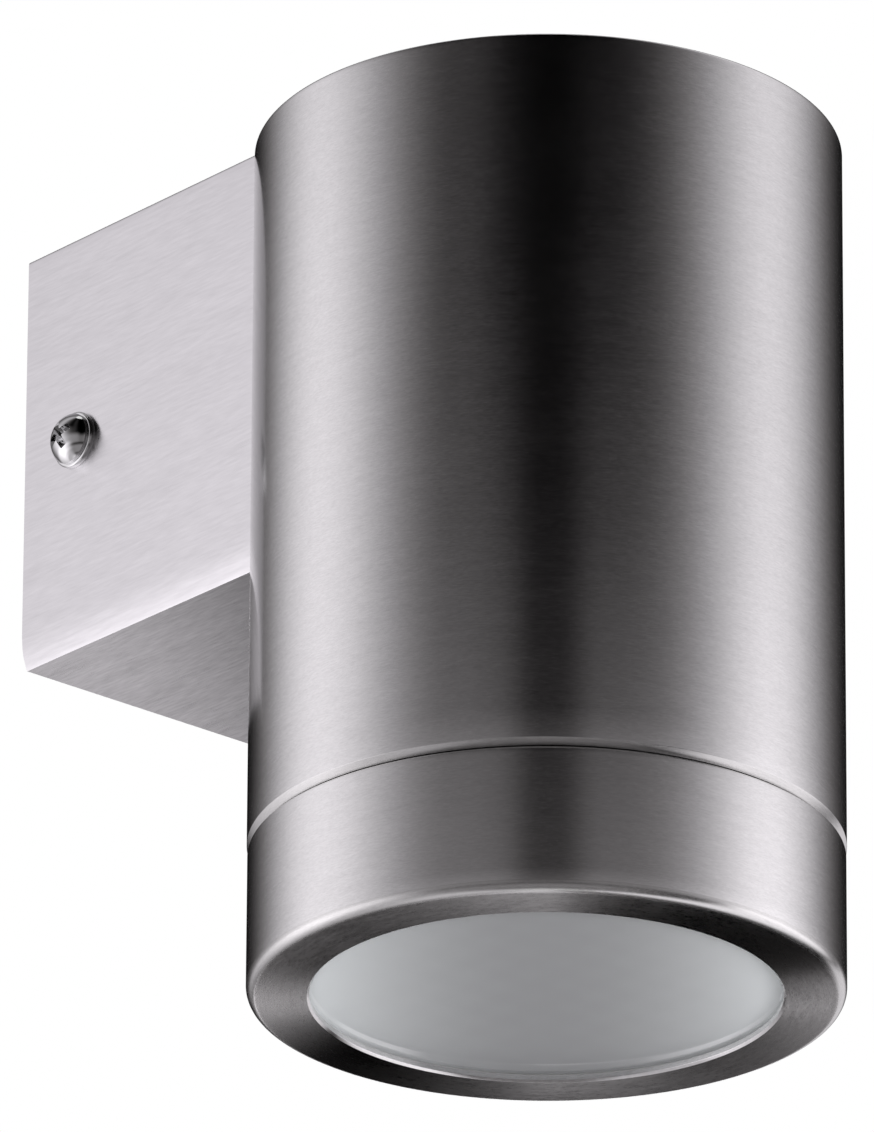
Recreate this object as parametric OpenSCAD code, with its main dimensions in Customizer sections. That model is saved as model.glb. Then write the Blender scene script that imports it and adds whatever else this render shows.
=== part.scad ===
// Wall light: an upright tube on a square arm, shining down through a screw-on ring.
// The origin is on the wall, at the centre of the arm. The light stands out along -Y.

/* [Tube] */
// Outside diameter of the tube
tube_d = 76; // [70:0.5:92]
// Wall thickness of the tube
tube_wall = 1.5; // [1:0.1:2]
// Distance from the wall to the tube's axis
tube_reach = 70.5; // [68:0.5:90]
// Height of the tube, from its top to its seam with the ring
tube_height = 97; // [90:0.5:115]
// Bevel on the tube's lower outer edge
tube_bevel = 0.7; // [0.2:0.1:0.9]
// Thickness of the disc that closes the tube's top
cap_thickness = 2; // [1:0.5:4]

/* [Arm] */
// Width of the arm, outside
arm_width = 58; // [48:1:64]
// Height of the arm, outside
arm_height = 58; // [50:1:66]
// Thickness of the arm's folded sheet
arm_sheet = 1.2; // [0.8:0.1:1.6]
// Inside radius of the arm's bends
arm_bend_r = 0.4; // [0.2:0.1:1.5]

/* [Ring and its thread] */
// Height of the ring below the seam
ring_height = 19.5; // [17:0.5:24]
// How far the ring's outside stands back from the tube's
ring_step = 0.1; // [0:0.05:0.5]
// Rounding of the ring's lower outer edge
ring_edge_r = 1.4; // [0.4:0.1:2]
// Width of the ring's flat lower face, from its outside to the opening
face_width = 8; // [6.5:0.1:9]
// Thickness of the lip that carries the glass
lip_thickness = 1; // [0.8:0.1:2]
// Broken edge round the opening
opening_break = 0.3; // [0.1:0.1:0.6]
// Open seam between tube and ring
seam_gap = 0.2; // [0.1:0.05:0.5]
// Wall of the ring outside its thread
ring_wall = 2.9; // [2.5:0.1:3.5]
// Running clearance of the ring's thread, on the radius
thread_clearance = 0.08; // [0.02:0.01:0.1]
// Wall of the threaded sleeve below the tube
sleeve_wall = 2.2; // [1.8:0.1:3]
// Length of the sleeve that sits inside the tube
sleeve_grip = 12; // [8:1:20]

/* [Glass and seals] */
// Thickness of the glass
glass_thickness = 4; // [3:0.5:5]
// Gap round the glass in the ring, on the radius
glass_gap = 0.3; // [0.1:0.05:0.5]
// Depth of the thread that the glass passes on its way in
thread_depth = 0.9; // [0.6:0.1:1.1]
// Thickness of the seal under the glass
seat_seal_thickness = 0.3; // [0.2:0.1:0.6]
// Thickness of the gasket on the glass
gasket_thickness = 1.2; // [0.8:0.1:2]
// Width of the gasket on the glass
gasket_width = 3; // [2:0.1:3.5]
// Section of the round seal at the seam
o_ring_d = 1.6; // [1.2:0.1:1.8]
// Small gap left beside a seal that is not yet squeezed
seal_gap = 0.2; // [0.1:0.05:0.3]

/* [Lamp] */
// Largest diameter of the lamp, at its front
lamp_d = 50; // [48:0.5:52]
// Length of the lamp without its pins
lamp_length = 47.5; // [44:0.5:56]
// Gap between the glass and the lamp's front
lamp_gap = 5.8; // [5:0.2:9]
// Height of the lamp's straight front rim
lamp_rim = 6; // [5:0.5:9]
// Height of the lamp's base block
lamp_base_height = 11.5; // [9:0.5:14]
// Diameter of the lamp's base block
lamp_base_d = 27; // [24:0.5:28]
// Wall of the lamp's body
lamp_wall = 2; // [1.6:0.1:2.6]
// Thickness of the lamp's front cover
lamp_cover_thickness = 2; // [1:0.5:3]
// Gap between the lamp's cover and its board
lamp_board_gap = 3; // [2:0.5:4]
// Thickness of the lamp's board
lamp_board_thickness = 1.6; // [1:0.1:2]
// Width of one emitter on the board
emitter_size = 3.5; // [2:0.5:5]
// Number of cooling slots round the lamp
lamp_slots = 16; // [8:1:20]
// Width of a cooling slot
lamp_slot_width = 2.4; // [1.5:0.1:3]
// Distance between the two pins
pin_spacing = 10; // [9:0.5:11]
// Diameter of a pin's head
pin_head_d = 5; // [4.6:0.1:5.4]
// Diameter of a pin's neck
pin_neck_d = 3.2; // [2.8:0.1:3.6]
// Length of a pin's head
pin_head_length = 3.8; // [3:0.1:4.6]
// Turn of the lamp that frees its pins, in degrees
lamp_turn = 25; // [20:1:30]

/* [Lampholder and its strap] */
// Diameter of the ceramic lampholder
holder_d = 30; // [28:0.5:34]
// Height of the ceramic lampholder
holder_height = 25; // [24:0.5:29]
// Thickness of the lampholder's face over the pin chambers
holder_face_thickness = 2.2; // [1.6:0.1:3]
// Distance between the lampholder's two screws
holder_screw_spacing = 21.6; // [21:0.2:23]
// Diameter of the lampholder's screws
holder_screw_d = 3; // [2.5:0.1:3.2]
// Diameter of those screws' heads
holder_screw_head_d = 5.6; // [5:0.1:6]
// Height of those screws' heads
holder_screw_head_height = 2; // [1.5:0.1:2.5]
// Depth of the counterbores that hide those heads
holder_counterbore = 3.5; // [3:0.1:5]
// Height of those screws' nuts
holder_nut_height = 2.4; // [2:0.1:3]
// Depth below the lampholder's top at which the leads go in
holder_lead_drop = 4.8; // [4:0.2:7]
// Thickness of the strap that carries the lampholder
strap_thickness = 1.2; // [1:0.1:2]
// Width of the strap
strap_width = 30; // [28:0.5:34]
// Distance between the outsides of the strap's legs
strap_span = 40; // [38:1:44]
// Length of the strap's feet
strap_foot = 10; // [9:0.5:11]
// Diameter of the studs under the top disc
stud_d = 4; // [3:0.5:4.5]
// Length of the studs under the top disc
stud_length = 7.5; // [6:0.5:10]
// Height of the nuts on the studs
stud_nut_height = 3.2; // [2.5:0.1:4]
// Sideways place of the earth screw on the strap
earth_screw_x = 12; // [11:0.5:14]
// Place of the earth screw behind the tube's axis
earth_screw_y = 8.5; // [7:0.5:10]
// Diameter of the earth screw
earth_screw_d = 3; // [2.5:0.1:3.5]
// Thickness of the earth tag
tag_thickness = 0.8; // [0.5:0.1:1]
// Length of the earth tag's barrel
tag_barrel_length = 5; // [4:0.5:7]

/* [Side screws] */
// Distance from the wall to the side screws
screw_from_wall = 10.5; // [8:0.5:12]
// Diameter of the side screws' thread
screw_d = 4; // [3.5:0.5:5]
// Length of the side screws under the head
screw_length = 8; // [7:0.5:10]
// Diameter of the side screws' heads
screw_head_d = 6.8; // [6:0.1:8]
// Height of the side screws' heads
screw_head_height = 2.5; // [1.8:0.1:3.5]
// Diameter of the washers under the heads
washer_d = 7.6; // [7:0.1:10]
// Thickness of the washers
washer_thickness = 0.8; // [0.5:0.1:1.2]
// Running clearance of the side screws' thread, on the radius
screw_clearance = 0.05; // [0.02:0.01:0.1]

/* [Wall bracket] */
// Sheet thickness of the wall bracket
bracket_sheet = 1.5; // [1.2:0.1:2]
// Gap between the bracket's ears and the arm
ear_gap = 0.4; // [0.2:0.1:0.8]
// Height of the bracket's ears
ear_height = 24; // [20:1:28]
// How far the bracket's ears reach past the side screws
ear_margin = 6; // [5:0.5:8]
// Wall of a clinch nut round its thread
nut_wall = 0.9; // [0.7:0.1:1.2]
// How far a clinch nut's flange stands out from its neck
nut_flange = 1; // [0.6:0.1:1.5]
// Height of a clinch nut behind the ear
nut_height = 2.5; // [2:0.1:3.5]
// Gap above and below the bracket's plate in the arm
plate_gap = 1.8; // [1:0.1:3]
// Thickness of the foam pad on the wall
pad_thickness = 2; // [1.5:0.5:3]
// Distance between the two wall screw slots
wall_slot_spacing = 32; // [31:0.5:34]
// Width of a wall screw slot
wall_slot_width = 4.5; // [4:0.1:5]
// Length of a wall screw slot
wall_slot_length = 7; // [6:0.5:8]
// Bore of the grommet that the supply cable comes through
entry_bore = 8; // [6:0.5:9]
// Thickness of the rubber round a grommet's bore
grommet_wall = 2; // [1.5:0.1:2.5]
// How far a grommet's flanges stand out from its neck
grommet_flange = 1.8; // [1.2:0.1:2.2]
// Thickness of a grommet's flanges
grommet_flange_thickness = 1.5; // [1:0.1:2]

/* [Terminals and leads] */
// Distance between two poles of the terminal block
pole_pitch = 7; // [6.5:0.1:7.5]
// Height of the terminal block
block_height = 16; // [14:0.5:18]
// Depth of the terminal block
block_depth = 12; // [11:0.5:13]
// Outside diameter of the brass inserts
insert_d = 4.4; // [4:0.1:4.8]
// Diameter of the terminal screws
terminal_screw_d = 2.6; // [2.2:0.1:2.8]
// Outside diameter of a lead
lead_d = 2.2; // [1.8:0.1:2.4]
// Gap round a lead in its holes, on the radius
lead_gap = 0.25; // [0.15:0.05:0.4]
// Depth of the leads' hole in the tube, below the tube's top
lead_hole_drop = 16; // [13:0.5:19]
// Length over which a lead makes a bend
lead_bend = 3.5; // [3:0.1:4]
// Wire that reaches into a terminal
lead_insertion = 4; // [3:0.5:5]

/* [Hidden] */

$fn = 96;
over = 1; // cutters run this far past the faces they cut

// Levels, from the top down
tube_top = arm_height / 2;
cap_bottom = tube_top - cap_thickness;
seam_z = tube_top - tube_height;
ring_top = seam_z - seam_gap;
ring_bottom = seam_z - ring_height;
seat_z = ring_bottom + lip_thickness;
glass_bottom = seat_z + seat_seal_thickness;
glass_top = glass_bottom + glass_thickness;
gasket_top = glass_top + gasket_thickness;
spigot_end = gasket_top + seal_gap;
lamp_front = glass_top + lamp_gap;
lamp_top = lamp_front + lamp_length;
holder_gap = 0.2;
holder_face = lamp_top + holder_gap;
holder_top = holder_face + holder_height;
web_top = holder_top + strap_thickness;

// Radii about the tube's axis
tube_r = tube_d / 2;
bore_r = tube_r - tube_wall;
ring_r = tube_r - ring_step;
opening_r = ring_r - face_width;
thread_r = ring_r - ring_wall;
core_r = thread_r - thread_depth;
sleeve_bore_r = thread_r - sleeve_wall;
glass_r = core_r;
pocket_r = glass_r + glass_gap;
pocket_margin = 0.5;
o_ring_r = core_r + o_ring_d / 2;
counterbore_r = core_r + o_ring_d + seal_gap;
counterbore_bottom = ring_top - seal_gap - o_ring_d - 2 * seal_gap;
sleeve_chamfer = 0.6;

// The hole that the leads take through the tube's wall
lead_hole_height = tube_top - lead_hole_drop;

// The bracket inside the arm
arm_outer_bend_r = arm_bend_r + arm_sheet;
arm_inner_x = arm_width / 2 - arm_sheet;
arm_inner_z = arm_height / 2 - arm_sheet;
ear_outer_x = arm_inner_x - ear_gap;
ear_inner_x = ear_outer_x - bracket_sheet;
ear_reach = screw_from_wall + ear_margin;
plate_back = pad_thickness;
plate_front = plate_back + bracket_sheet;
plate_half_height = arm_inner_z - plate_gap;
plate_half_width = ear_inner_x - 2;
pad_half_width = arm_inner_x - plate_gap;
bracket_bend_r = 0.5;
bracket_corner_r = 3;

// Clinch nuts in the ears
nut_neck_r = screw_d / 2 + nut_wall;
nut_r = nut_neck_r + nut_flange;
side_hole_r = screw_d / 2 + 0.25;
washer_hole_r = screw_d / 2 + 0.15;
head_seat_x = arm_width / 2 + washer_thickness;

// Grommets
entry_neck_r = entry_bore / 2 + grommet_wall;
entry_flange_r = entry_neck_r + grommet_flange;
entry_z = -(plate_half_height - entry_flange_r - 0.6);
bundle_r = 1.5;
lead_bore_r = bundle_r + lead_d / 2 + lead_gap;
lead_neck_r = lead_bore_r + grommet_wall;
lead_flange_r = lead_neck_r + grommet_flange;
wall_line_y = -tube_reach + tube_r;

// Terminal block
pole_x = [-pole_pitch, 0, pole_pitch];
block_gap = 0.5;
block_z = entry_z + entry_flange_r + block_gap + block_height / 2;
block_top = block_z + block_height / 2;
block_front = plate_front + block_depth;
barrel_depth = 4.6;
barrel_y = -(plate_front + barrel_depth);
block_body_depth = 8.6;
tower_r = pole_pitch / 2 - 0.4;
insert_length = block_height - 2;
insert_fit = 0.05;
terminal_screw_z = 4;
fixing_r = 1;
fixing_head_r = 1.9;
lead_hole_r = lead_d / 2 + lead_gap;

// Lampholder
pin_r = pin_spacing / 2;
pin_clear = 0.3;
neck_slot_r = pin_neck_d / 2 + pin_clear;
chamber_r = pin_head_d / 2 + pin_clear;
chamber_depth = pin_head_length + 3;
pin_neck_length = holder_gap + holder_face_thickness + 0.3;
contact_thickness = 0.8;
contact_width = 5;
contact_x = pin_r + chamber_r + 0.2;
contact_gap = 0.15;
holder_lead_z = holder_top - holder_lead_drop;
contact_bottom = holder_face + holder_face_thickness + 0.4;
contact_top = holder_lead_z + lead_hole_r;
holder_screw_head_r = holder_screw_head_d / 2;
holder_screw_y = holder_screw_spacing / 2;
holder_screw_tail = 0.5 * holder_screw_d;

// Strap
leg_outer_x = strap_span / 2;
foot_x = leg_outer_x + strap_foot / 2;
thread_fit = 0.05;
hole_gap = 0.2;

// Earth tag on the strap
earth_screw_r = earth_screw_d / 2;
tag_ring_r = earth_screw_d + 0.2;
tag_barrel_r = lead_d / 2 + lead_gap + 0.5;
tag_barrel_z = web_top + tag_barrel_r;

// Places all of its children at the tube's axis
module at_tube_axis() {
    translate([0, -tube_reach, 0]) children();
}

// A rectangle with round corners, centred
module rounded_rect(width, height, r) {
    square([width - 2 * r, height], center = true);
    square([width, height - 2 * r], center = true);
    for (x = [-1, 1], y = [-1, 1])
        translate([x * (width / 2 - r), y * (height / 2 - r)]) circle(r);
}

// A plate that lies flat to the wall, from one distance from the wall to another
module wall_plate(width, height, from, to, r) {
    translate([0, -from, 0]) rotate([90, 0, 0])
        linear_extrude(to - from) rounded_rect(width, height, r);
}

// A round bar that runs away from the wall
module wall_bar(r, from, to, x = 0, z = 0) {
    translate([x, -from, z]) rotate([90, 0, 0]) cylinder(r = r, h = to - from);
}

// A slot cutter that runs along X and goes away from the wall
module slot_cut(x, width, length, to) {
    translate([x, over, 0]) rotate([90, 0, 0]) linear_extrude(to + over) {
        square([length - width, width], center = true);
        for (side = [-1, 1]) translate([side * (length - width) / 2, 0]) circle(width / 2);
    }
}

// A ring with a square section about the tube's axis
module flat_ring(outer_r, inner_r, bottom, top) {
    at_tube_axis() translate([0, 0, bottom]) difference() {
        cylinder(r = outer_r, h = top - bottom);
        translate([0, 0, -over]) cylinder(r = inner_r, h = top - bottom + 2 * over);
    }
}

module tube() {
    color("silver") difference() {
        at_tube_axis() rotate_extrude() polygon([
            [bore_r, seam_z], [tube_r - tube_bevel, seam_z], [tube_r, seam_z + tube_bevel],
            [tube_r, tube_top], [bore_r, tube_top]
        ]);
        wall_bar(lead_neck_r, -wall_line_y - over, -wall_line_y + tube_wall + over, z = lead_hole_height);
    }
}

module top_cap() {
    color("silver") at_tube_axis() translate([0, 0, cap_bottom]) cylinder(r = bore_r, h = cap_thickness);
}

module arm_box() {
    color("gainsboro") difference() {
        rotate([90, 0, 0]) linear_extrude(tube_reach) difference() {
            rounded_rect(arm_width, arm_height, arm_outer_bend_r);
            rounded_rect(2 * arm_inner_x, 2 * arm_inner_z, arm_bend_r);
        }
        at_tube_axis() cylinder(r = tube_r, h = arm_height + 2 * over, center = true);
        translate([0, -screw_from_wall, 0]) rotate([0, 90, 0])
            cylinder(r = side_hole_r, h = arm_width + 2 * over, center = true);
    }
}

// The sleeve grips the tube's bore and its spigot carries the ring's thread
module thread_sleeve() {
    groove_bottom = counterbore_bottom;
    color("darkgray") at_tube_axis() rotate_extrude() polygon([
        [sleeve_bore_r, spigot_end], [thread_r - sleeve_chamfer, spigot_end],
        [thread_r, spigot_end + sleeve_chamfer], [thread_r, groove_bottom], [core_r, groove_bottom],
        [core_r, seam_z], [bore_r, seam_z], [bore_r, seam_z + sleeve_grip],
        [sleeve_bore_r, seam_z + sleeve_grip]
    ]);
}

module o_ring() {
    color("dimgray") at_tube_axis() translate([0, 0, ring_top - seal_gap - o_ring_d / 2])
        rotate_extrude() translate([o_ring_r, 0]) circle(o_ring_d / 2, $fn = 48);
}

module bezel_profile() {
    difference() {
        union() {
            translate([0, ring_bottom]) square([ring_r - ring_edge_r, ring_top - ring_bottom]);
            translate([0, ring_bottom + ring_edge_r])
                square([ring_r, ring_top - ring_bottom - ring_edge_r]);
            translate([ring_r - ring_edge_r, ring_bottom + ring_edge_r]) circle(ring_edge_r);
        }
        translate([-over, ring_bottom - over]) square([opening_r + over, ring_height + 2 * over]);
        translate([-over, seat_z]) square([pocket_r + over, ring_height]);
        translate([-over, glass_top + pocket_margin])
            square([thread_r + thread_clearance + over, ring_height]);
        translate([-over, counterbore_bottom]) square([counterbore_r + over, ring_height]);
        translate([opening_r, ring_bottom]) rotate(45)
            square(opening_break * sqrt(2), center = true);
    }
}

module bezel_ring() {
    color("silver") at_tube_axis() rotate_extrude() bezel_profile();
}

module lens_glass() {
    color("whitesmoke") at_tube_axis() translate([0, 0, glass_bottom])
        cylinder(r = glass_r, h = glass_thickness);
}

module lens_gasket() {
    color("white") flat_ring(glass_r, glass_r - gasket_width, glass_top, gasket_top);
}

module seat_seal() {
    color("white") flat_ring(glass_r, opening_r + opening_break, seat_z, glass_bottom);
}

// A pan head screw along +X, its seat at x = 0
module pan_screw(thread_r, length, head_r, head_height) {
    recess_width = 0.28 * head_r;
    recess_span = 1.15 * head_r;
    dome_r = (head_r * head_r + head_height * head_height) / (2 * head_height) * 1.12;
    edge_height = 0.3 * head_height;
    rotate([0, 90, 0]) {
        translate([0, 0, -length]) cylinder(r = thread_r, h = length);
        difference() {
            intersection() {
                cylinder(r = head_r, h = head_height);
                translate([0, 0, head_height - dome_r]) sphere(dome_r);
            }
            translate([0, 0, head_height - edge_height]) {
                translate([-recess_span / 2, -recess_width / 2, -edge_height])
                    cube([recess_span, recess_width, head_height]);
                translate([-recess_width / 2, -recess_span / 2, -edge_height])
                    cube([recess_width, recess_span, head_height]);
            }
        }
    }
}

module side_screw(side) {
    color("lightsteelblue") translate([side * head_seat_x, -screw_from_wall, 0])
        mirror([side < 0 ? 1 : 0, 0, 0])
            pan_screw(screw_d / 2, screw_length, screw_head_d / 2, screw_head_height);
}

module side_washer(side) {
    color("silver") translate([side * (arm_width + washer_thickness) / 2, -screw_from_wall, 0])
        rotate([0, 90, 0]) difference() {
            cylinder(r = washer_d / 2, h = washer_thickness, center = true);
            cylinder(r = washer_hole_r, h = washer_thickness + 2 * over, center = true);
        }
}

module left_screw() {
    side_screw(-1);
}

module left_washer() {
    side_washer(-1);
}

module right_screw() {
    side_screw(1);
}

module right_washer() {
    side_washer(1);
}

// The outline of a sheet bent forward at both sides, seen from above
module bent_outline(half_width, back, front, r) {
    translate([-half_width, -front]) square([2 * half_width, front - back - r]);
    translate([-(half_width - r), -front]) square([2 * (half_width - r), front - back]);
    for (side = [-1, 1]) translate([side * (half_width - r), -(back + r)]) circle(r);
}

module wall_bracket() {
    color("khaki") difference() {
        union() {
            wall_plate(2 * plate_half_width, 2 * plate_half_height, plate_back, plate_front,
                bracket_corner_r);
            intersection() {
                linear_extrude(ear_height, center = true) difference() {
                    bent_outline(ear_outer_x, plate_back, ear_reach, bracket_bend_r + bracket_sheet);
                    bent_outline(ear_inner_x, plate_front, ear_reach + over, bracket_bend_r);
                }
                rotate([0, 90, 0]) linear_extrude(arm_width, center = true)
                    rounded_rect(ear_height, 2 * ear_reach, bracket_corner_r);
            }
        }
        translate([0, -screw_from_wall, 0]) rotate([0, 90, 0])
            cylinder(r = nut_neck_r, h = arm_width, center = true);
        wall_bar(entry_neck_r, -over, plate_front + over, z = entry_z);
        for (side = [-1, 1]) {
            slot_cut(side * wall_slot_spacing / 2, wall_slot_width, wall_slot_length, plate_front + over);
            wall_bar(fixing_r + thread_fit, -over, plate_front + over, side * pole_pitch / 2, block_z);
        }
    }
}

module clinch_nuts() {
    color("gold") for (side = [-1, 1]) translate([0, -screw_from_wall, 0])
        rotate([0, side * 90, 0]) difference() {
            union() {
                translate([0, 0, ear_inner_x - nut_height]) cylinder(r = nut_r, h = nut_height);
                translate([0, 0, ear_inner_x - 0.1]) cylinder(r = nut_neck_r, h = bracket_sheet);
            }
            cylinder(r = screw_d / 2 + screw_clearance, h = arm_width);
        }
}

module wall_pad() {
    color("dimgray") difference() {
        wall_plate(2 * pad_half_width, 2 * plate_half_height, 0, pad_thickness, bracket_corner_r);
        wall_bar(entry_flange_r, -over, pad_thickness + over, z = entry_z);
        for (side = [-1, 1])
            slot_cut(side * wall_slot_spacing / 2, wall_slot_width + 1, wall_slot_length + 1,
                pad_thickness + over);
    }
}

module entry_grommet() {
    back = plate_back - grommet_flange_thickness;
    front = plate_front + grommet_flange_thickness;
    color("black") difference() {
        union() {
            wall_bar(entry_neck_r, back, front, z = entry_z);
            wall_bar(entry_flange_r - 0.1, back, plate_back, z = entry_z);
            wall_bar(entry_flange_r - 0.1, plate_front, front, z = entry_z);
        }
        wall_bar(entry_bore / 2, -over, front + over, z = entry_z);
    }
}

// Its flanges follow the tube's outside and inside
module tube_grommet() {
    outside = -wall_line_y - grommet_flange_thickness;
    inside = -wall_line_y + tube_wall + grommet_flange_thickness;
    color("black") difference() {
        union() {
            wall_bar(lead_neck_r, outside, inside, z = lead_hole_height);
            difference() {
                wall_bar(lead_flange_r, outside, inside, z = lead_hole_height);
                at_tube_axis() cylinder(r = tube_r, h = arm_height, center = true);
            }
            intersection() {
                wall_bar(lead_flange_r, outside, inside, z = lead_hole_height);
                at_tube_axis() cylinder(r = bore_r, h = arm_height, center = true);
            }
        }
        wall_bar(lead_bore_r, outside - over, inside + over, z = lead_hole_height);
    }
}

module terminal_block() {
    color("white") difference() {
        union() {
            translate([0, 0, block_z])
                wall_plate(3 * pole_pitch, block_height, plate_front, plate_front + block_body_depth, 0.6);
            for (x = pole_x, side = [-1, 1])
                wall_bar(tower_r, plate_front, block_front, x, block_z + side * terminal_screw_z);
        }
        for (x = pole_x) {
            translate([x, barrel_y, block_z])
                cylinder(r = insert_d / 2 + insert_fit, h = block_height + 2 * over, center = true);
            for (side = [-1, 1])
                wall_bar(terminal_screw_d / 2 + lead_gap, -barrel_y, block_front + over, x,
                    block_z + side * terminal_screw_z);
        }
        for (side = [-1, 1]) {
            wall_bar(fixing_r + insert_fit, 0, block_front, side * pole_pitch / 2, block_z);
            wall_bar(fixing_head_r + hole_gap, plate_front + block_body_depth - 2, block_front + over,
                side * pole_pitch / 2, block_z);
        }
    }
}

module terminal_inserts() {
    color("goldenrod") for (x = pole_x) translate([x, barrel_y, block_z]) difference() {
        cylinder(r = insert_d / 2, h = insert_length, center = true);
        cylinder(r = lead_hole_r, h = insert_length + 2 * over, center = true);
        for (side = [-1, 1]) translate([0, 0, side * terminal_screw_z]) rotate([90, 0, 0])
            cylinder(r = terminal_screw_d / 2 + thread_fit, h = insert_d);
    }
}

module terminal_screws() {
    tip = lead_d / 2 + 0.1;
    slot_depth = 0.8;
    reach = block_front + barrel_y - 1.2;
    color("lightgray") for (x = pole_x, side = [-1, 1])
        translate([x, barrel_y, block_z + side * terminal_screw_z]) difference() {
            translate([0, -tip, 0]) rotate([90, 0, 0]) cylinder(r = terminal_screw_d / 2, h = reach - tip);
            translate([0, -reach, 0]) cube([terminal_screw_d + over, 2 * slot_depth, 0.6], center = true);
        }
}

module terminal_fixings() {
    seat = plate_front + block_body_depth - 2;
    color("khaki") for (side = [-1, 1]) difference() {
        union() {
            wall_bar(fixing_r, plate_back + 0.1, seat, side * pole_pitch / 2, block_z);
            wall_bar(fixing_head_r, seat, seat + 1.5, side * pole_pitch / 2, block_z);
        }
        translate([side * pole_pitch / 2, -(seat + 1.5), block_z])
            cube([2 * fixing_head_r + over, 1.2, 0.5], center = true);
    }
}

// Smooth routes for the leads
function unit(v) = v / norm(v);
function curve_point(p, i, t) =
    let (a = p[max(i - 1, 0)], b = p[i], c = p[i + 1], d = p[min(i + 2, len(p) - 1)])
    0.5 * (2 * b + (c - a) * t + (2 * a - 5 * b + 4 * c - d) * t * t + (3 * b - a - 3 * c + d) * t * t * t);
function route(p, steps) =
    [for (i = [0 : len(p) - 2]) for (k = [0 : steps - 1]) curve_point(p, i, k / steps), p[len(p) - 1]];

// One round lead along a smooth route
module lead(points) {
    sides = 8;
    path = route(points, 4);
    last = len(path) - 1;
    ring = [for (k = [0 : sides - 1]) lead_d / 2 * [cos(360 * k / sides), sin(360 * k / sides)]];
    vertices = [
        for (i = [0 : last])
            let (along = unit(path[min(i + 1, last)] - path[max(i - 1, 0)]))
            let (across = unit(cross(along, [1, 0, 0])), up = cross(along, across))
            for (p = ring) path[i] + p[0] * across + p[1] * up
    ];
    walls = [
        for (i = [0 : last - 1], k = [0 : sides - 1])
            let (a = i * sides + k, b = i * sides + (k + 1) % sides)
            each [[b, a, b + sides], [a, a + sides, b + sides]]
    ];
    end = last * sides;
    start_cap = [for (k = [1 : sides - 2]) [0, k, k + 1]];
    end_cap = [for (k = [1 : sides - 2]) [end, end + k + 1, end + k]];
    polyhedron(vertices, concat(start_cap, walls, end_cap));
}

// The leads leave the block upwards, bend forward under the arm's top and run into the tube.
// side is -1 for the left lead, 0 for the middle one and 1 for the right one.
function lead_start(side) =
    let (x = side * pole_pitch, middle = side == 0, crest = arm_inner_z - (middle ? 3.4 : 2.15) * lead_bend)
    [
        [x, barrel_y, block_top - lead_insertion],
        [x, barrel_y, block_top + lead_bend / 3],
        [x * 0.9, barrel_y - 0.85 * lead_bend, crest - 0.35 * lead_bend],
        [x * 0.55, barrel_y - 2.6 * lead_bend, crest - 0.1 * lead_bend],
        [side * (bundle_r + 0.3 * lead_d), wall_line_y + 1.4 * lead_bend,
            lead_hole_height + (middle ? -0.35 : 0.7) * lead_d],
        bundle_point(side, wall_line_y + grommet_flange_thickness),
        bundle_point(side, wall_line_y - 2 * grommet_flange_thickness)
    ];
// A place in the bundle of three that fills the tube's grommet
function bundle_point(side, y) =
    let (middle = side == 0)
    [middle ? 0 : side * bundle_r * cos(30), y, lead_hole_height + (middle ? -1 : sin(30)) * bundle_r];

// Into the holder's back, beside the strap's rear edge
function holder_lead_end(side, from) =
    let (x = side * (contact_x + contact_thickness / 2), rear = -tube_reach + holder_d / 2)
    [
        from + lead_bend * [side * 0.43, -1, -0.46],
        [side * 1.7 * lead_bend, from[1] - 2.6 * lead_bend, (from[2] + holder_lead_z) / 2 + 0.3 * lead_bend],
        [x, rear + 1.7 * lead_bend, holder_lead_z + 0.3 * lead_bend],
        [x, rear + 0.43 * lead_bend, holder_lead_z],
        [x, -tube_reach + contact_width / 2 + 0.6 * lead_bend, holder_lead_z],
        [x, -tube_reach + contact_width / 2 + 0.12 * lead_bend, holder_lead_z]
    ];

module live_wire() {
    start = lead_start(-1);
    color("saddlebrown") lead(concat(start, holder_lead_end(-1, start[len(start) - 1])));
}

module neutral_wire() {
    start = lead_start(0);
    color("royalblue") lead(concat(start, holder_lead_end(1, start[len(start) - 1])));
}

module earth_wire() {
    start = lead_start(1);
    from = start[len(start) - 1];
    barrel_end = -tube_reach + earth_screw_y + tag_ring_r + tag_barrel_length;
    color("yellowgreen") lead(concat(start, [
        from + lead_bend * [0.43, -1, -0.1],
        [earth_screw_x - 1.15 * lead_bend, from[1] - 2.3 * lead_bend, from[2] - 0.7 * lead_bend],
        [earth_screw_x, barrel_end + 1.43 * lead_bend, tag_barrel_z + 0.57 * lead_bend],
        [earth_screw_x, barrel_end + 0.3 * lead_bend, tag_barrel_z],
        [earth_screw_x, barrel_end - 0.6 * tag_barrel_length, tag_barrel_z]
    ]));
}

module earth_tag() {
    color("lightgray") translate([earth_screw_x, -tube_reach + earth_screw_y, 0]) {
        translate([0, 0, web_top]) difference() {
            union() {
                cylinder(r = tag_ring_r, h = tag_thickness);
                translate([-tag_barrel_r, 0, 0]) cube([2 * tag_barrel_r, tag_ring_r + 1, tag_thickness]);
            }
            translate([0, 0, -over]) cylinder(r = earth_screw_r + hole_gap, h = tag_thickness + 2 * over);
        }
        translate([0, tag_ring_r, tag_barrel_z]) rotate([-90, 0, 0]) difference() {
            cylinder(r = tag_barrel_r, h = tag_barrel_length);
            translate([0, 0, over]) cylinder(r = lead_hole_r, h = tag_barrel_length);
        }
    }
}

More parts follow.
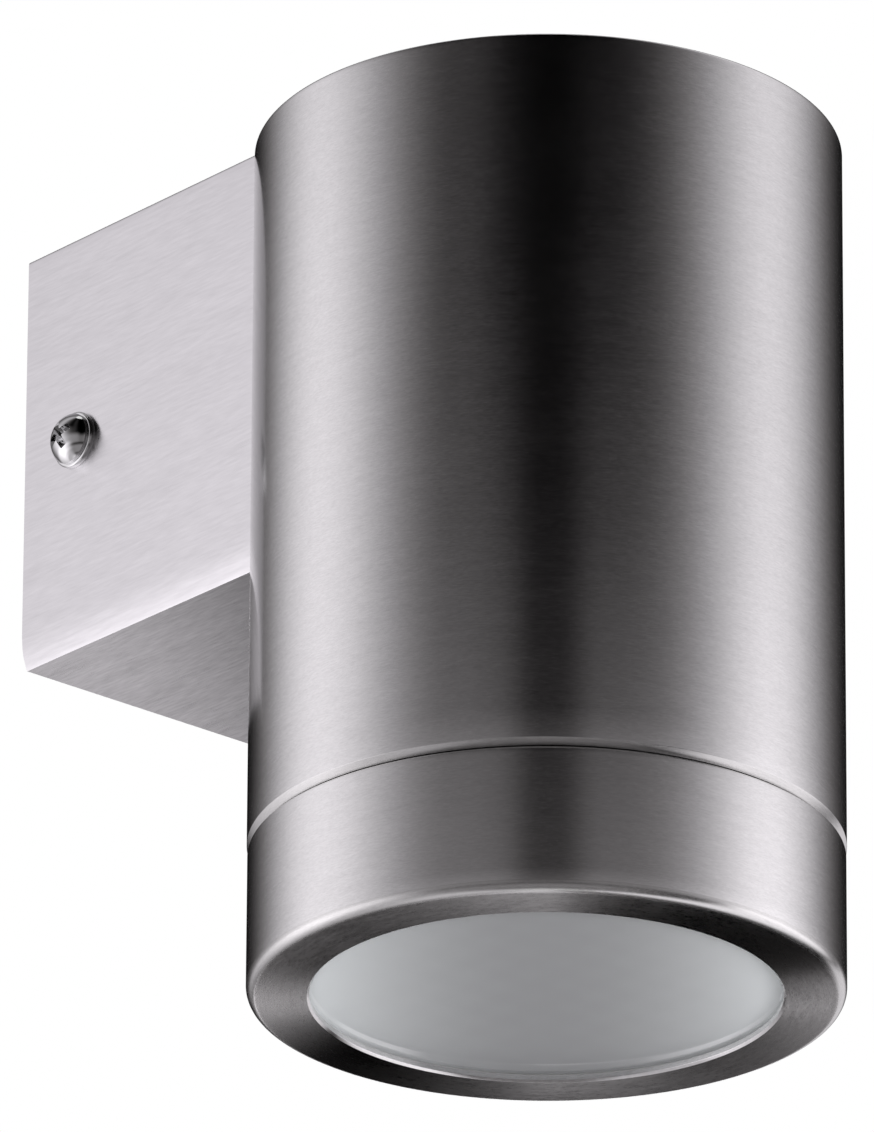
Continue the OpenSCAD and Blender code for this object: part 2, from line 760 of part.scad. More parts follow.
module earth_screw() {
    head_height = 1.8;
    color("goldenrod") translate([earth_screw_x, -tube_reach + earth_screw_y, web_top + tag_thickness])
        difference() {
            union() {
                translate([0, 0, -(tag_thickness + strap_thickness)])
                    cylinder(r = earth_screw_r, h = tag_thickness + strap_thickness);
                cylinder(r = earth_screw_r + 1.2, h = head_height);
            }
            translate([0, 0, head_height]) cube([2 * earth_screw_r + 3, 0.7, 1.4], center = true);
        }
}

// A strap that hangs from the top disc and carries the lampholder
module holder_strap() {
    leg_height = cap_bottom - holder_top;
    color("khaki") at_tube_axis() difference() {
        union() {
            translate([-leg_outer_x, -strap_width / 2, holder_top])
                cube([2 * leg_outer_x, strap_width, strap_thickness]);
            for (side = [-1, 1]) mirror([side < 0 ? 1 : 0, 0, 0]) {
                translate([leg_outer_x - strap_thickness, -strap_width / 2, holder_top])
                    cube([strap_thickness, strap_width, leg_height]);
                translate([leg_outer_x - strap_thickness, -strap_width / 2, cap_bottom - strap_thickness])
                    cube([strap_foot + strap_thickness, strap_width, strap_thickness]);
            }
        }
        for (side = [-1, 1]) {
            translate([side * foot_x, 0, cap_bottom - 2 * strap_thickness])
                cylinder(r = stud_d / 2 + hole_gap, h = 3 * strap_thickness);
            translate([0, side * holder_screw_y, holder_top - over])
                cylinder(r = holder_screw_d / 2 + hole_gap, h = strap_thickness + 2 * over);
        }
        translate([earth_screw_x, earth_screw_y, holder_top - over])
            cylinder(r = earth_screw_r + thread_fit, h = strap_thickness + 2 * over);
    }
}

module cap_studs() {
    color("silver") at_tube_axis() for (side = [-1, 1])
        translate([side * foot_x, 0, cap_bottom - stud_length]) cylinder(r = stud_d / 2, h = stud_length);
}

// A hexagon nut with its lower face at z = 0
module hex_nut(thread_r, across_flats, height) {
    difference() {
        cylinder(r = across_flats / sqrt(3), h = height, $fn = 6);
        translate([0, 0, -over]) cylinder(r = thread_r + thread_fit, h = height + 2 * over);
    }
}

module stud_nuts() {
    color("lightgray") at_tube_axis() for (side = [-1, 1])
        translate([side * foot_x, 0, cap_bottom - strap_thickness - stud_nut_height])
            hex_nut(stud_d / 2, stud_d + 3, stud_nut_height);
}

// An arc shaped cutter that a pin sweeps on its way to the locked place
module pin_sweep(r, from, to) {
    arc_r = r - 0.05;
    translate([0, 0, from]) {
        rotate([0, 0, -lamp_turn]) rotate_extrude(angle = lamp_turn)
            translate([pin_r - arc_r, 0]) square([2 * arc_r, to - from]);
        for (turn = [0, -lamp_turn]) rotate([0, 0, turn]) translate([pin_r, 0, 0])
            cylinder(r = r, h = to - from);
    }
}

module lampholder() {
    chamber_bottom = holder_face + holder_face_thickness;
    color("ivory") at_tube_axis() difference() {
        translate([0, 0, holder_face]) cylinder(r = holder_d / 2, h = holder_height);
        for (half_turn = [0, 180]) rotate([0, 0, half_turn]) {
            pin_sweep(neck_slot_r, holder_face - over, chamber_bottom + over);
            pin_sweep(chamber_r, chamber_bottom, chamber_bottom + chamber_depth);
            rotate([0, 0, -lamp_turn]) translate([pin_r, 0, holder_face - over])
                cylinder(r = chamber_r, h = holder_face_thickness + 2 * over);
        }
        for (side = [-1, 1]) {
            translate([side * (contact_x + contact_thickness / 2), 0, (contact_bottom + contact_top) / 2])
                cube([contact_thickness + 2 * contact_gap, contact_width + 2 * contact_gap,
                    contact_top - contact_bottom + 2 * contact_gap], center = true);
            translate([side * (contact_x + contact_thickness / 2), contact_width / 2 - over, holder_lead_z])
                rotate([-90, 0, 0]) cylinder(r = lead_hole_r, h = holder_d / 2);
            translate([0, side * holder_screw_y, holder_face - over])
                cylinder(r = holder_screw_d / 2 + hole_gap, h = holder_height + 2 * over);
            translate([0, side * holder_screw_y, holder_face - over])
                cylinder(r = holder_screw_head_r + hole_gap, h = holder_counterbore + over);
        }
    }
}

module holder_contacts() {
    color("goldenrod") at_tube_axis() for (side = [-1, 1])
        translate([side * (contact_x + contact_thickness / 2), 0, (contact_bottom + contact_top) / 2])
            cube([contact_thickness, contact_width, contact_top - contact_bottom], center = true);
}

module holder_screws() {
    seat = holder_face + holder_counterbore;
    color("lightgray") at_tube_axis() for (side = [-1, 1])
        translate([0, side * holder_screw_y, seat]) difference() {
            union() {
                cylinder(r = holder_screw_d / 2, h = web_top + holder_nut_height + holder_screw_tail - seat);
                translate([0, 0, -holder_screw_head_height])
                    cylinder(r = holder_screw_head_r, h = holder_screw_head_height);
            }
            translate([0, 0, -holder_screw_head_height])
                cube([2 * holder_screw_head_r + over, 0.7, 1.6], center = true);
        }
}

module holder_nuts() {
    color("lightgray") at_tube_axis() for (side = [-1, 1])
        translate([0, side * holder_screw_y, web_top])
            hex_nut(holder_screw_d / 2, holder_screw_d + 2.5, holder_nut_height);
}

// Levels and radii of the lamp's own pieces
lamp_r = lamp_d / 2;
lamp_base_bottom = lamp_top - lamp_base_height;
lamp_rim_top = lamp_front + lamp_rim;
lamp_cone_top = lamp_base_bottom - 2 * lamp_wall;
lamp_neck_r = lamp_base_d / 2 + lamp_wall;
cover_r = lamp_r - 0.6 * lamp_wall;
cover_top = lamp_front + lamp_cover_thickness;
board_z = cover_top + lamp_board_gap;
board_top = board_z + lamp_board_thickness;
board_r = lamp_r - 1.7 * lamp_wall;

module lamp_body() {
    slot_bottom = board_top + 2 * lamp_wall;
    color("whitesmoke") at_tube_axis() difference() {
        rotate_extrude() polygon([
            [0, lamp_front], [lamp_r, lamp_front], [lamp_r, lamp_rim_top],
            [lamp_neck_r, lamp_cone_top], [lamp_neck_r, lamp_base_bottom], [0, lamp_base_bottom]
        ]);
        translate([0, 0, lamp_front - over]) cylinder(r = cover_r, h = lamp_cover_thickness + over);
        translate([0, 0, cover_top]) cylinder(r = board_r, h = board_top - cover_top);
        for (k = [0 : lamp_slots - 1]) rotate([0, 0, 360 * k / lamp_slots])
            translate([lamp_neck_r - lamp_wall, -lamp_slot_width / 2, slot_bottom])
                cube([lamp_r, lamp_slot_width, lamp_cone_top - slot_bottom]);
    }
}

module lamp_base() {
    color("ivory") at_tube_axis() intersection() {
        translate([0, 0, lamp_base_bottom]) cylinder(r = lamp_base_d / 2, h = lamp_base_height);
        translate([0, 0, lamp_base_bottom + lamp_base_height / 2])
            cube([lamp_base_d, 0.74 * lamp_base_d, lamp_base_height], center = true);
    }
}

module lamp_pins() {
    color("lightgray") at_tube_axis() for (side = [-1, 1]) translate([side * pin_r, 0, lamp_top]) {
        cylinder(r = pin_neck_d / 2, h = pin_neck_length);
        translate([0, 0, pin_neck_length]) cylinder(r = pin_head_d / 2, h = pin_head_length);
    }
}

module lamp_board() {
    emitters = 6;
    emitter_height = 0.7;
    color("white") at_tube_axis() {
        translate([0, 0, board_z]) cylinder(r = board_r, h = lamp_board_thickness);
        for (k = [1 : emitters]) rotate([0, 0, 360 * k / emitters])
            translate([0.45 * board_r - emitter_size / 2, -emitter_size / 2, board_z - emitter_height])
                cube([emitter_size, emitter_size, 2 * emitter_height]);
    }
}

module lamp_cover() {
    color("white") at_tube_axis() translate([0, 0, lamp_front])
        cylinder(r = cover_r, h = lamp_cover_thickness);
}

tube();
top_cap();
arm_box();
thread_sleeve();
o_ring();
bezel_ring();
lens_glass();
lens_gasket();
seat_seal();
left_screw();
left_washer();
right_screw();
right_washer();
wall_bracket();
clinch_nuts();
wall_pad();
entry_grommet();
tube_grommet();
terminal_block();
terminal_inserts();
terminal_screws();
terminal_fixings();
live_wire();
neutral_wire();
earth_wire();
earth_tag();
earth_screw();
holder_strap();
cap_studs();
stud_nuts();
lampholder();
holder_contacts();
holder_screws();
holder_nuts();
lamp_body();
lamp_base();
lamp_pins();
lamp_board();
lamp_cover();
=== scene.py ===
"""Looks of the tube wall light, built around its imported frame.

Every piece is in metres, in the frame's own axes: the wall is at y = 0, the light stands out along -Y and +Z is up.
"""

import logging
import math
from collections.abc import Callable, Sequence
from dataclasses import dataclass
from enum import Enum

import bmesh
import bpy
from mathutils import Matrix, Vector


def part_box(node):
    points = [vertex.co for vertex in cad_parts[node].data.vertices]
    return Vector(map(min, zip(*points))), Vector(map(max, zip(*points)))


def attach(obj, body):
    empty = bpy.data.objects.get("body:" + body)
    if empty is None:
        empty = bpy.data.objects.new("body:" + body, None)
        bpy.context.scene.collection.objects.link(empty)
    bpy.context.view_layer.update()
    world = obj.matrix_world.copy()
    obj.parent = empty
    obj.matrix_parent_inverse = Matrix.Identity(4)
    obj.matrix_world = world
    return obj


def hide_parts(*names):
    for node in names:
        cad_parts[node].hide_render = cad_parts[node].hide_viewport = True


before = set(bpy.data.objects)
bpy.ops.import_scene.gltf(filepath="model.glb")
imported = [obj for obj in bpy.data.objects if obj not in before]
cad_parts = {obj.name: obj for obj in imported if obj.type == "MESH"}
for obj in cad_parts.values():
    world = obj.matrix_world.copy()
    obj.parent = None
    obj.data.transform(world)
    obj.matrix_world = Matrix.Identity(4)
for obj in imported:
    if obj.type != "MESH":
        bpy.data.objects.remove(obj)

log = logging.getLogger("wall_light")

MM = 0.001
FULL_TURN = 2 * math.pi
PHOTO_HEIGHT = 1132
# Steps in a full turn of the large round pieces, of the side screws and of a cutting bar
SEGMENTS, SCREW_SEGMENTS, BAR_SEGMENTS = 288, 96, 48
# Two places this near count as one
WELD = 1e-6
# The turn between two faces below which they are one flat, from which their edge is sharp, and from which it is eased
FLAT_TURN, SHARP_TURN, EASED_TURN = (math.radians(angle) for angle in (0.5, 32.0, 38.0))
# Steps across an eased edge
EASED_STEPS = 2
# The grey values that a noise texture mostly stays between
NOISE_RANGE = (0.3, 0.7)
# What the wave texture multiplies its coordinates by
WAVE_FACTOR = 20
# The share of a turn that lays a highlight across the streaks
QUARTER_TURN = 0.25

Colour = tuple[float, float, float]
Profile = list[tuple[float, float]]
Wave = Callable[[float, float, float], float]


class Side(Enum):
    """The side of the arm that a screw goes into."""

    LEFT = -1
    RIGHT = 1


class Grain(Enum):
    """The way that the brushing of a steel face runs, as the kind of tangent that follows it."""

    ROUND = "RADIAL"
    LONG = "UV_MAP"


@dataclass(frozen=True)
class Span:
    """The box that one CAD node fills."""

    low: Vector
    high: Vector

    @classmethod
    def of(cls, node: str) -> "Span":
        """Reads the box of a CAD node."""
        return cls(*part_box(node))

    @property
    def centre(self) -> Vector:
        """The middle of the box."""
        return (self.low + self.high) / 2

    @property
    def size(self) -> Vector:
        """The lengths of the box's sides."""
        return self.high - self.low

    def radius(self, axis: int = 2) -> float:
        """The radius of a node that is round.

        Args:
            axis: The axis that it is round about: 0 is X and 2 is Z.

        Returns:
            Half of the smaller width across that axis.
        """
        return min(width for k, width in enumerate(self.size) if k != axis) / 2


AXIS_Y = Span.of("tube").centre.y


# Node trees

class NodeBench:
    """The nodes of a material or a world under construction, with short ways to add and join them."""

    def __init__(self, owner: bpy.types.Material | bpy.types.World) -> None:
        """Starts without nodes.

        Args:
            owner: The material or the world.
        """
        self.owner = owner
        owner.use_nodes = True
        self.tree = owner.node_tree
        self.tree.nodes.clear()

    def add(self, kind: str, inputs: dict[str, object] | None = None, **settings: object) -> bpy.types.Node:
        """Adds one node.

        Args:
            kind: The node's type.
            inputs: A value, or the socket to take it from, for each named input.
            settings: Values of the node's own properties.

        Returns:
            The new node.
        """
        node = self.tree.nodes.new(kind)
        for key, value in settings.items():
            setattr(node, key, value)
        for key, value in (inputs or {}).items():
            self.feed(node.inputs[key], value)
        return node

    def feed(self, target: bpy.types.NodeSocket, value: object) -> None:
        """Joins a socket to an input, or sets the input's own value.

        Args:
            target: The input.
            value: A socket, a number or a colour.
        """
        if isinstance(value, bpy.types.NodeSocket):
            self.tree.links.new(value, target)
        else:
            target.default_value = value

    def math(self, operation: str, *values: object) -> bpy.types.NodeSocket:
        """Adds a math node.

        Args:
            operation: The name of the sum.
            values: Up to three sockets or numbers.

        Returns:
            The result's socket.
        """
        node = self.add("ShaderNodeMath", operation=operation)
        for target, value in zip(node.inputs, values):
            self.feed(target, value)
        return node.outputs[0]

    def average(self, first: bpy.types.NodeSocket, second: bpy.types.NodeSocket,
                share: float) -> bpy.types.NodeSocket:
        """Takes the average of two values.

        Args:
            first: The first value.
            second: The second value.
            share: The first one's weight, from 0 to 1.

        Returns:
            The result's socket.
        """
        return self.math("MULTIPLY_ADD", second, 1 - share, self.math("MULTIPLY", first, share))

    def place(self) -> bpy.types.NodeSocket:
        """The socket of the piece's own coordinates."""
        return self.add("ShaderNodeTexCoord").outputs["Object"]

    def seen(self) -> bpy.types.NodeSocket:
        """The socket that is 1 for what the camera sees, also in metal or through glass, and otherwise 0."""
        path = self.add("ShaderNodeLightPath").outputs
        mirrored = self.math("MAXIMUM", path["Is Glossy Ray"], path["Is Transmission Ray"])
        return self.math("MAXIMUM", path["Is Camera Ray"], mirrored)

    def remap(self, value: bpy.types.NodeSocket, low: float, high: float, start: float = 0.0,
              end: float = 1.0, smooth: bool = False) -> bpy.types.NodeSocket:
        """Turns one range of numbers into another.

        Args:
            value: The numbers to turn.
            low: The result at the start of the range.
            high: The result at its end.
            start: Where the range starts.
            end: Where the range ends.
            smooth: Whether the change eases in and out.

        Returns:
            The result's socket.
        """
        kind = "SMOOTHSTEP" if smooth else "LINEAR"
        node = self.add("ShaderNodeMapRange", {"Value": value, "From Min": start, "From Max": end, "To Min": low,
                                               "To Max": high}, interpolation_type=kind)
        return node.outputs["Result"]

    def noise(self, place: bpy.types.NodeSocket, scale: float, detail: float = 2.0,
              rough: float = 0.5) -> bpy.types.NodeSocket:
        """Adds a noise texture.

        Args:
            place: The coordinates to read it at.
            scale: Its lumps for each metre of those coordinates.
            detail: The number of finer layers.
            rough: How strong the finer layers are.

        Returns:
            The socket of its grey value.
        """
        inputs = {"Vector": place, "Scale": scale, "Detail": detail, "Roughness": rough}
        return self.add("ShaderNodeTexNoise", inputs).outputs[0]

    def wave(self, place: bpy.types.NodeSocket, scale: float, way: str, waver: float = 0.0) -> bpy.types.NodeSocket:
        """Adds a texture of even bands.

        Args:
            place: The coordinates to read it at.
            scale: The texture's scale.
            way: The axis that the bands cross.
            waver: How unsteady their edges are.

        Returns:
            The socket of its grey value.
        """
        inputs = {"Vector": place, "Scale": scale, "Distortion": waver}
        return self.add("ShaderNodeTexWave", inputs, wave_type="BANDS", bands_direction=way).outputs[1]

    def stretched(self, place: bpy.types.NodeSocket, scale: Sequence[float]) -> bpy.types.NodeSocket:
        """Scales coordinates by a different factor along each axis.

        Args:
            place: The coordinates.
            scale: The three factors.

        Returns:
            The scaled coordinates.
        """
        node = self.add("ShaderNodeVectorMath", operation="MULTIPLY")
        self.feed(node.inputs[0], place)
        self.feed(node.inputs[1], scale)
        return node.outputs[0]

    def tint(self, value: bpy.types.NodeSocket, dark: Sequence[float],
             light: Sequence[float]) -> bpy.types.NodeSocket:
        """Blends two colours by a grey value.

        Args:
            value: The grey value, from 0 to 1.
            dark: The colour at 0.
            light: The colour at 1.

        Returns:
            The socket of the colour.
        """
        ramp = self.add("ShaderNodeValToRGB", {"Fac": value})
        for stop, colour in zip(ramp.color_ramp.elements, (dark, light)):
            stop.color = (*colour, 1)
        return ramp.outputs["Color"]

    def mottled(self, noise: bpy.types.NodeSocket, colour: Colour, contrast: float) -> bpy.types.NodeSocket:
        """Makes a colour that is a little darker or lighter from place to place.

        Args:
            noise: The grey value of a noise.
            colour: The colour.
            contrast: The most that it gets darker or lighter, as a share.

        Returns:
            The socket of the colour.
        """
        return self.tint(self.remap(noise, 0, 1, *NOISE_RANGE), shade(colour, 1 - contrast),
                         shade(colour, 1 + contrast))

    def bump(self, height: bpy.types.NodeSocket, depth: float) -> bpy.types.NodeSocket:
        """Turns a height into a bumped normal.

        Args:
            height: The height, from 0 to 1.
            depth: The real height of 1, in metres.

        Returns:
            The socket of the normal.
        """
        return self.add("ShaderNodeBump", {"Height": height, "Distance": depth, "Strength": 1.0}).outputs["Normal"]

    def blend(self, share: object, first: bpy.types.Node, second: bpy.types.Node) -> bpy.types.Node:
        """Blends two shaders.

        Args:
            share: The second one's share, from 0 to 1, or the socket to take it from.
            first: The first shader's node.
            second: The second shader's node.

        Returns:
            The node of the blend.
        """
        node = self.add("ShaderNodeMixShader", {"Fac": share})
        for target, shader in zip(node.inputs[1:], (first, second)):
            self.feed(target, shader.outputs[0])
        return node

    def close(self, surface: bpy.types.Node) -> bpy.types.Material | bpy.types.World:
        """Joins the last shader to the output.

        Args:
            surface: The shader's node.

        Returns:
            The finished material or world.
        """
        kind = "World" if isinstance(self.owner, bpy.types.World) else "Material"
        self.add(f"ShaderNodeOutput{kind}", {"Surface": surface.outputs[0]})
        return self.owner


def shade(colour: Sequence[float], factor: float) -> tuple[float, ...]:
    """A colour made darker or lighter.

    Args:
        colour: The colour.
        factor: What each part of it is multiplied by.

    Returns:
        The new colour.
    """
    return tuple(min(1.0, part * factor) for part in colour)


@dataclass(frozen=True)
class Finish:
    """A surface finish that becomes one material.

    Attributes:
        name: The material's name.
        colour: Its main colour.
        roughness: How dull it is.
    """

    name: str
    colour: Colour
    roughness: float

    def make(self) -> bpy.types.Material:
        """Builds the material, once, and gives it back each time."""
        found = bpy.data.materials.get(self.name)
        return found or self.build(NodeBench(bpy.data.materials.new(self.name)))

    def build(self, bench: NodeBench) -> bpy.types.Material:
        """Builds the nodes of the finish.

        Args:
            bench: The empty material to fill.

        Returns:
            The finished material.
        """
        raise NotImplementedError


@dataclass(frozen=True)
class BrushedSteel(Finish):
    """Stainless steel with fine short streaks.

    Attributes:
        grain: The way that the streaks run.
        blur: How far highlights spread along and across the streaks, as slopes.
        ground: Whether the surface is ground flat, so that highlights end without a long tail.
        streak_length: The usual length of a streak.
        streak_width: The usual width of a streak.
        contrast: How much lighter a bright streak is than a dark one.
        dullness: How much duller a dull streak is than a clean one.
        depth: Height of the streaks.
        broad_scale: Size of a fine streak against that of a broad one.
        fine_share: The fine streaks' share in the pattern, against the broad ones.
        cloud_scale: Dull patches for each metre.
        streak_wear: The streaks' share in the dullness, against the patches.
        wear_range: The values that this dullness mostly stays between.
        full_stretch: How far the principled shader stretches a highlight at an anisotropy of 1.
    """

    grain: Grain = Grain.ROUND
    blur: tuple[float, float] = (0.008, 0.05)
    ground: bool = False
    streak_length: float = 0.9 * MM
    streak_width: float = 0.17 * MM
    contrast: float = 0.09
    dullness: float = 0.15
    depth: float = 0.5e-6
    broad_scale: float = 0.21
    fine_share: float = 0.7
    cloud_scale: float = 90.0
    streak_wear: float = 0.65
    wear_range: tuple[float, float] = (0.35, 0.65)
    full_stretch: float = 0.9

    def streak_place(self, bench: NodeBench) -> bpy.types.NodeSocket:
        """Coordinates in which one unit is the length or the width of a streak.

        Args:
            bench: The material under construction.

        Returns:
            The socket of the coordinates.
        """
        along, across = 1 / self.streak_length, 1 / self.streak_width
        if self.grain is Grain.LONG:
            return bench.stretched(bench.place(), (across, along, across))
        parts = bench.add("ShaderNodeSeparateXYZ", {"Vector": bench.place()})
        x, z = parts.outputs["X"], parts.outputs["Z"]
        y = bench.math("SUBTRACT", parts.outputs["Y"], AXIS_Y)
        radius = bench.math("SQRT", bench.math("ADD", bench.math("MULTIPLY", x, x), bench.math("MULTIPLY", y, y)))
        level = bench.math("ADD", z, radius)
        joined = bench.add("ShaderNodeCombineXYZ", {"X": x, "Y": y, "Z": level})
        return bench.stretched(joined.outputs[0], (along, along, across))

    def build(self, bench: NodeBench) -> bpy.types.Material:
        """Builds the streaked steel.

        Args:
            bench: The empty material to fill.

        Returns:
            The finished material.
        """
        place = self.streak_place(bench)
        fine = bench.noise(place, 1.0, detail=3, rough=0.6)
        broad = bench.noise(place, self.broad_scale)
        cloud = bench.noise(bench.place(), self.cloud_scale, detail=3)
        streak = bench.average(fine, broad, self.fine_share)
        wear = bench.average(streak, cloud, self.streak_wear)
        clean, dull = (1 - self.dullness) * self.roughness, (1 + self.dullness) * self.roughness
        colour = bench.mottled(streak, self.colour, self.contrast)
        tangent = bench.add("ShaderNodeTangent", direction_type=self.grain.value, axis="Z")
        share = self.blur[0] / self.blur[1]
        inputs = {"Roughness": bench.remap(wear, clean, dull, *self.wear_range), "Tangent": tangent.outputs[0],
                  "Normal": bench.bump(streak, self.depth)}
        if self.ground:
            inputs |= {"Color": colour, "Anisotropy": 1 - math.sqrt(share)}
            return bench.close(bench.add("ShaderNodeBsdfAnisotropic", inputs, distribution="BECKMANN"))
        inputs |= {"Base Color": colour, "Metallic": 1.0, "Anisotropic": (1 - share) / self.full_stretch,
                   "Anisotropic Rotation": QUARTER_TURN}
        return bench.close(bench.add("ShaderNodeBsdfPrincipled", inputs))


@dataclass(frozen=True)
class PlainMetal(Finish):
    """Turned, plated or polished metal with small marks of making.

    Attributes:
        mark_size: The usual size of a mark.
        contrast: How much the colour changes between clouds of marks.
        depth: Height of the marks.
        stretch: Factors that make the marks longer along an axis.
        cloud_share: Size of a mark against that of a cloud.
        dull_range: Roughness of the cleanest and the dullest marks against the finish's own.
    """

    mark_size: float = 0.5 * MM
    contrast: float = 0.06
    depth: float = 2e-6
    stretch: tuple[float, float, float] = (1.0, 1.0, 1.0)
    cloud_share: float = 0.12
    dull_range: tuple[float, float] = (0.8, 1.25)

    def build(self, bench: NodeBench) -> bpy.types.Material:
        """Builds the metal.

        Args:
            bench: The empty material to fill.

        Returns:
            The finished material.
        """
        place = bench.stretched(bench.place(), self.stretch)
        marks = bench.noise(place, 1 / self.mark_size, detail=4, rough=0.6)
        cloud = bench.noise(place, self.cloud_share / self.mark_size)
        clean, dull = (factor * self.roughness for factor in self.dull_range)
        metal = bench.add("ShaderNodeBsdfPrincipled", {
            "Base Color": bench.mottled(cloud, self.colour, self.contrast), "Metallic": 1.0,
            "Roughness": bench.remap(marks, clean, dull, *NOISE_RANGE), "Normal": bench.bump(marks, self.depth)})
        return bench.close(metal)


@dataclass(frozen=True)
class Moulded(Finish):
    """Moulded plastic, rubber, foam or glazed ceramic with a fine skin.

    Attributes:
        grain_size: The usual size of the skin's grains.
        depth: Height of the grains.
        contrast: How much the colour changes from place to place.
        sheen: How strong the soft shine at grazing angles is.
        coat: How strong the clear glaze is.
        cloud_share: Size of a grain against that of a cloud of colour.
        dull_range: Roughness of the cleanest and the dullest places against the finish's own.
    """

    grain_size: float = 0.3 * MM
    depth: float = 6e-6
    contrast: float = 0.04
    sheen: float = 0.0
    coat: float = 0.0
    cloud_share: float = 0.08
    dull_range: tuple[float, float] = (0.9, 1.1)

    def build(self, bench: NodeBench) -> bpy.types.Material:
        """Builds the moulded skin.

        Args:
            bench: The empty material to fill.

        Returns:
            The finished material.
        """
        place = bench.place()
        grains = bench.noise(place, 1 / self.grain_size, detail=3, rough=0.6)
        cloud = bench.noise(place, self.cloud_share / self.grain_size)
        clean, dull = (min(1.0, factor * self.roughness) for factor in self.dull_range)
        skin = bench.add("ShaderNodeBsdfPrincipled", {
            "Base Color": bench.mottled(cloud, self.colour, self.contrast),
            "Roughness": bench.remap(grains, clean, dull, *NOISE_RANGE), "Sheen Weight": self.sheen,
            "Coat Weight": self.coat, "Normal": bench.bump(grains, self.depth)})
        return bench.close(skin)


@dataclass(frozen=True)
class StripedCover(Finish):
    """Wire insulation with a second colour in a band along it.

    Attributes:
        band: The second colour.
        band_share: The share of the cover that the band takes.
        band_edge: Half of the share in which the colours run into each other.
        band_scale: Scale of the bands' wave texture.
        waver: How unsteady the band's edge is.
        grain_size: The usual size of the skin's grains.
        depth: Height of the grains.
    """

    band: Colour = (0.25, 0.5, 0.05)
    band_share: float = 0.5
    band_edge: float = 0.03
    band_scale: float = 160.0
    waver: float = 0.4
    grain_size: float = 0.25 * MM
    depth: float = 4e-6

    def build(self, bench: NodeBench) -> bpy.types.Material:
        """Builds the two-colour cover.

        Args:
            bench: The empty material to fill.

        Returns:
            The finished material.
        """
        place = bench.place()
        wave = bench.wave(place, self.band_scale, "DIAGONAL", self.waver)
        band = bench.remap(wave, 0, 1, self.band_share - self.band_edge, self.band_share + self.band_edge)
        grains = bench.noise(place, 1 / self.grain_size)
        cover = bench.add("ShaderNodeBsdfPrincipled", {
            "Base Color": bench.tint(band, self.colour, self.band), "Roughness": self.roughness,
            "Normal": bench.bump(grains, self.depth)})
        return bench.close(cover)


@dataclass(frozen=True)
class ClearGlass(Finish):
    """The glass's clear front and rim, very slightly green.

    Attributes:
        clarity: Share of the light on matt faces behind it that passes straight through it.
        index: How strongly it bends light.
        ripple_scale: Ripples for each metre.
        ripple_depth: Height of the ripples.
        smear_scale: Smears for each metre.
        smear_range: The grey values between which a smear gets twice as dull.
    """

    clarity: float = 0.86
    index: float = 1.5
    ripple_scale: float = 90.0
    ripple_depth: float = 4e-6
    smear_scale: float = 400.0
    smear_range: tuple[float, float] = (0.35, 0.7)

    def build(self, bench: NodeBench) -> bpy.types.Material:
        """Builds the clear glass.

        Args:
            bench: The empty material to fill.

        Returns:
            The finished material.
        """
        ripple = bench.noise(bench.place(), self.ripple_scale, detail=1)
        smear = bench.noise(bench.place(), self.smear_scale, detail=3)
        glass = bench.add("ShaderNodeBsdfPrincipled", {
            "Base Color": (*self.colour, 1), "IOR": self.index, "Transmission Weight": 1.0,
            "Roughness": bench.remap(smear, self.roughness, 2 * self.roughness, *self.smear_range),
            "Normal": bench.bump(ripple, self.ripple_depth)})
        passing = bench.add("ShaderNodeBsdfTransparent", {"Color": (*shade(self.colour, self.clarity), 1)})
        path = bench.add("ShaderNodeLightPath").outputs
        matt = bench.math("MAXIMUM", path["Is Shadow Ray"], path["Is Diffuse Ray"])
        return bench.close(bench.blend(matt, glass, passing))


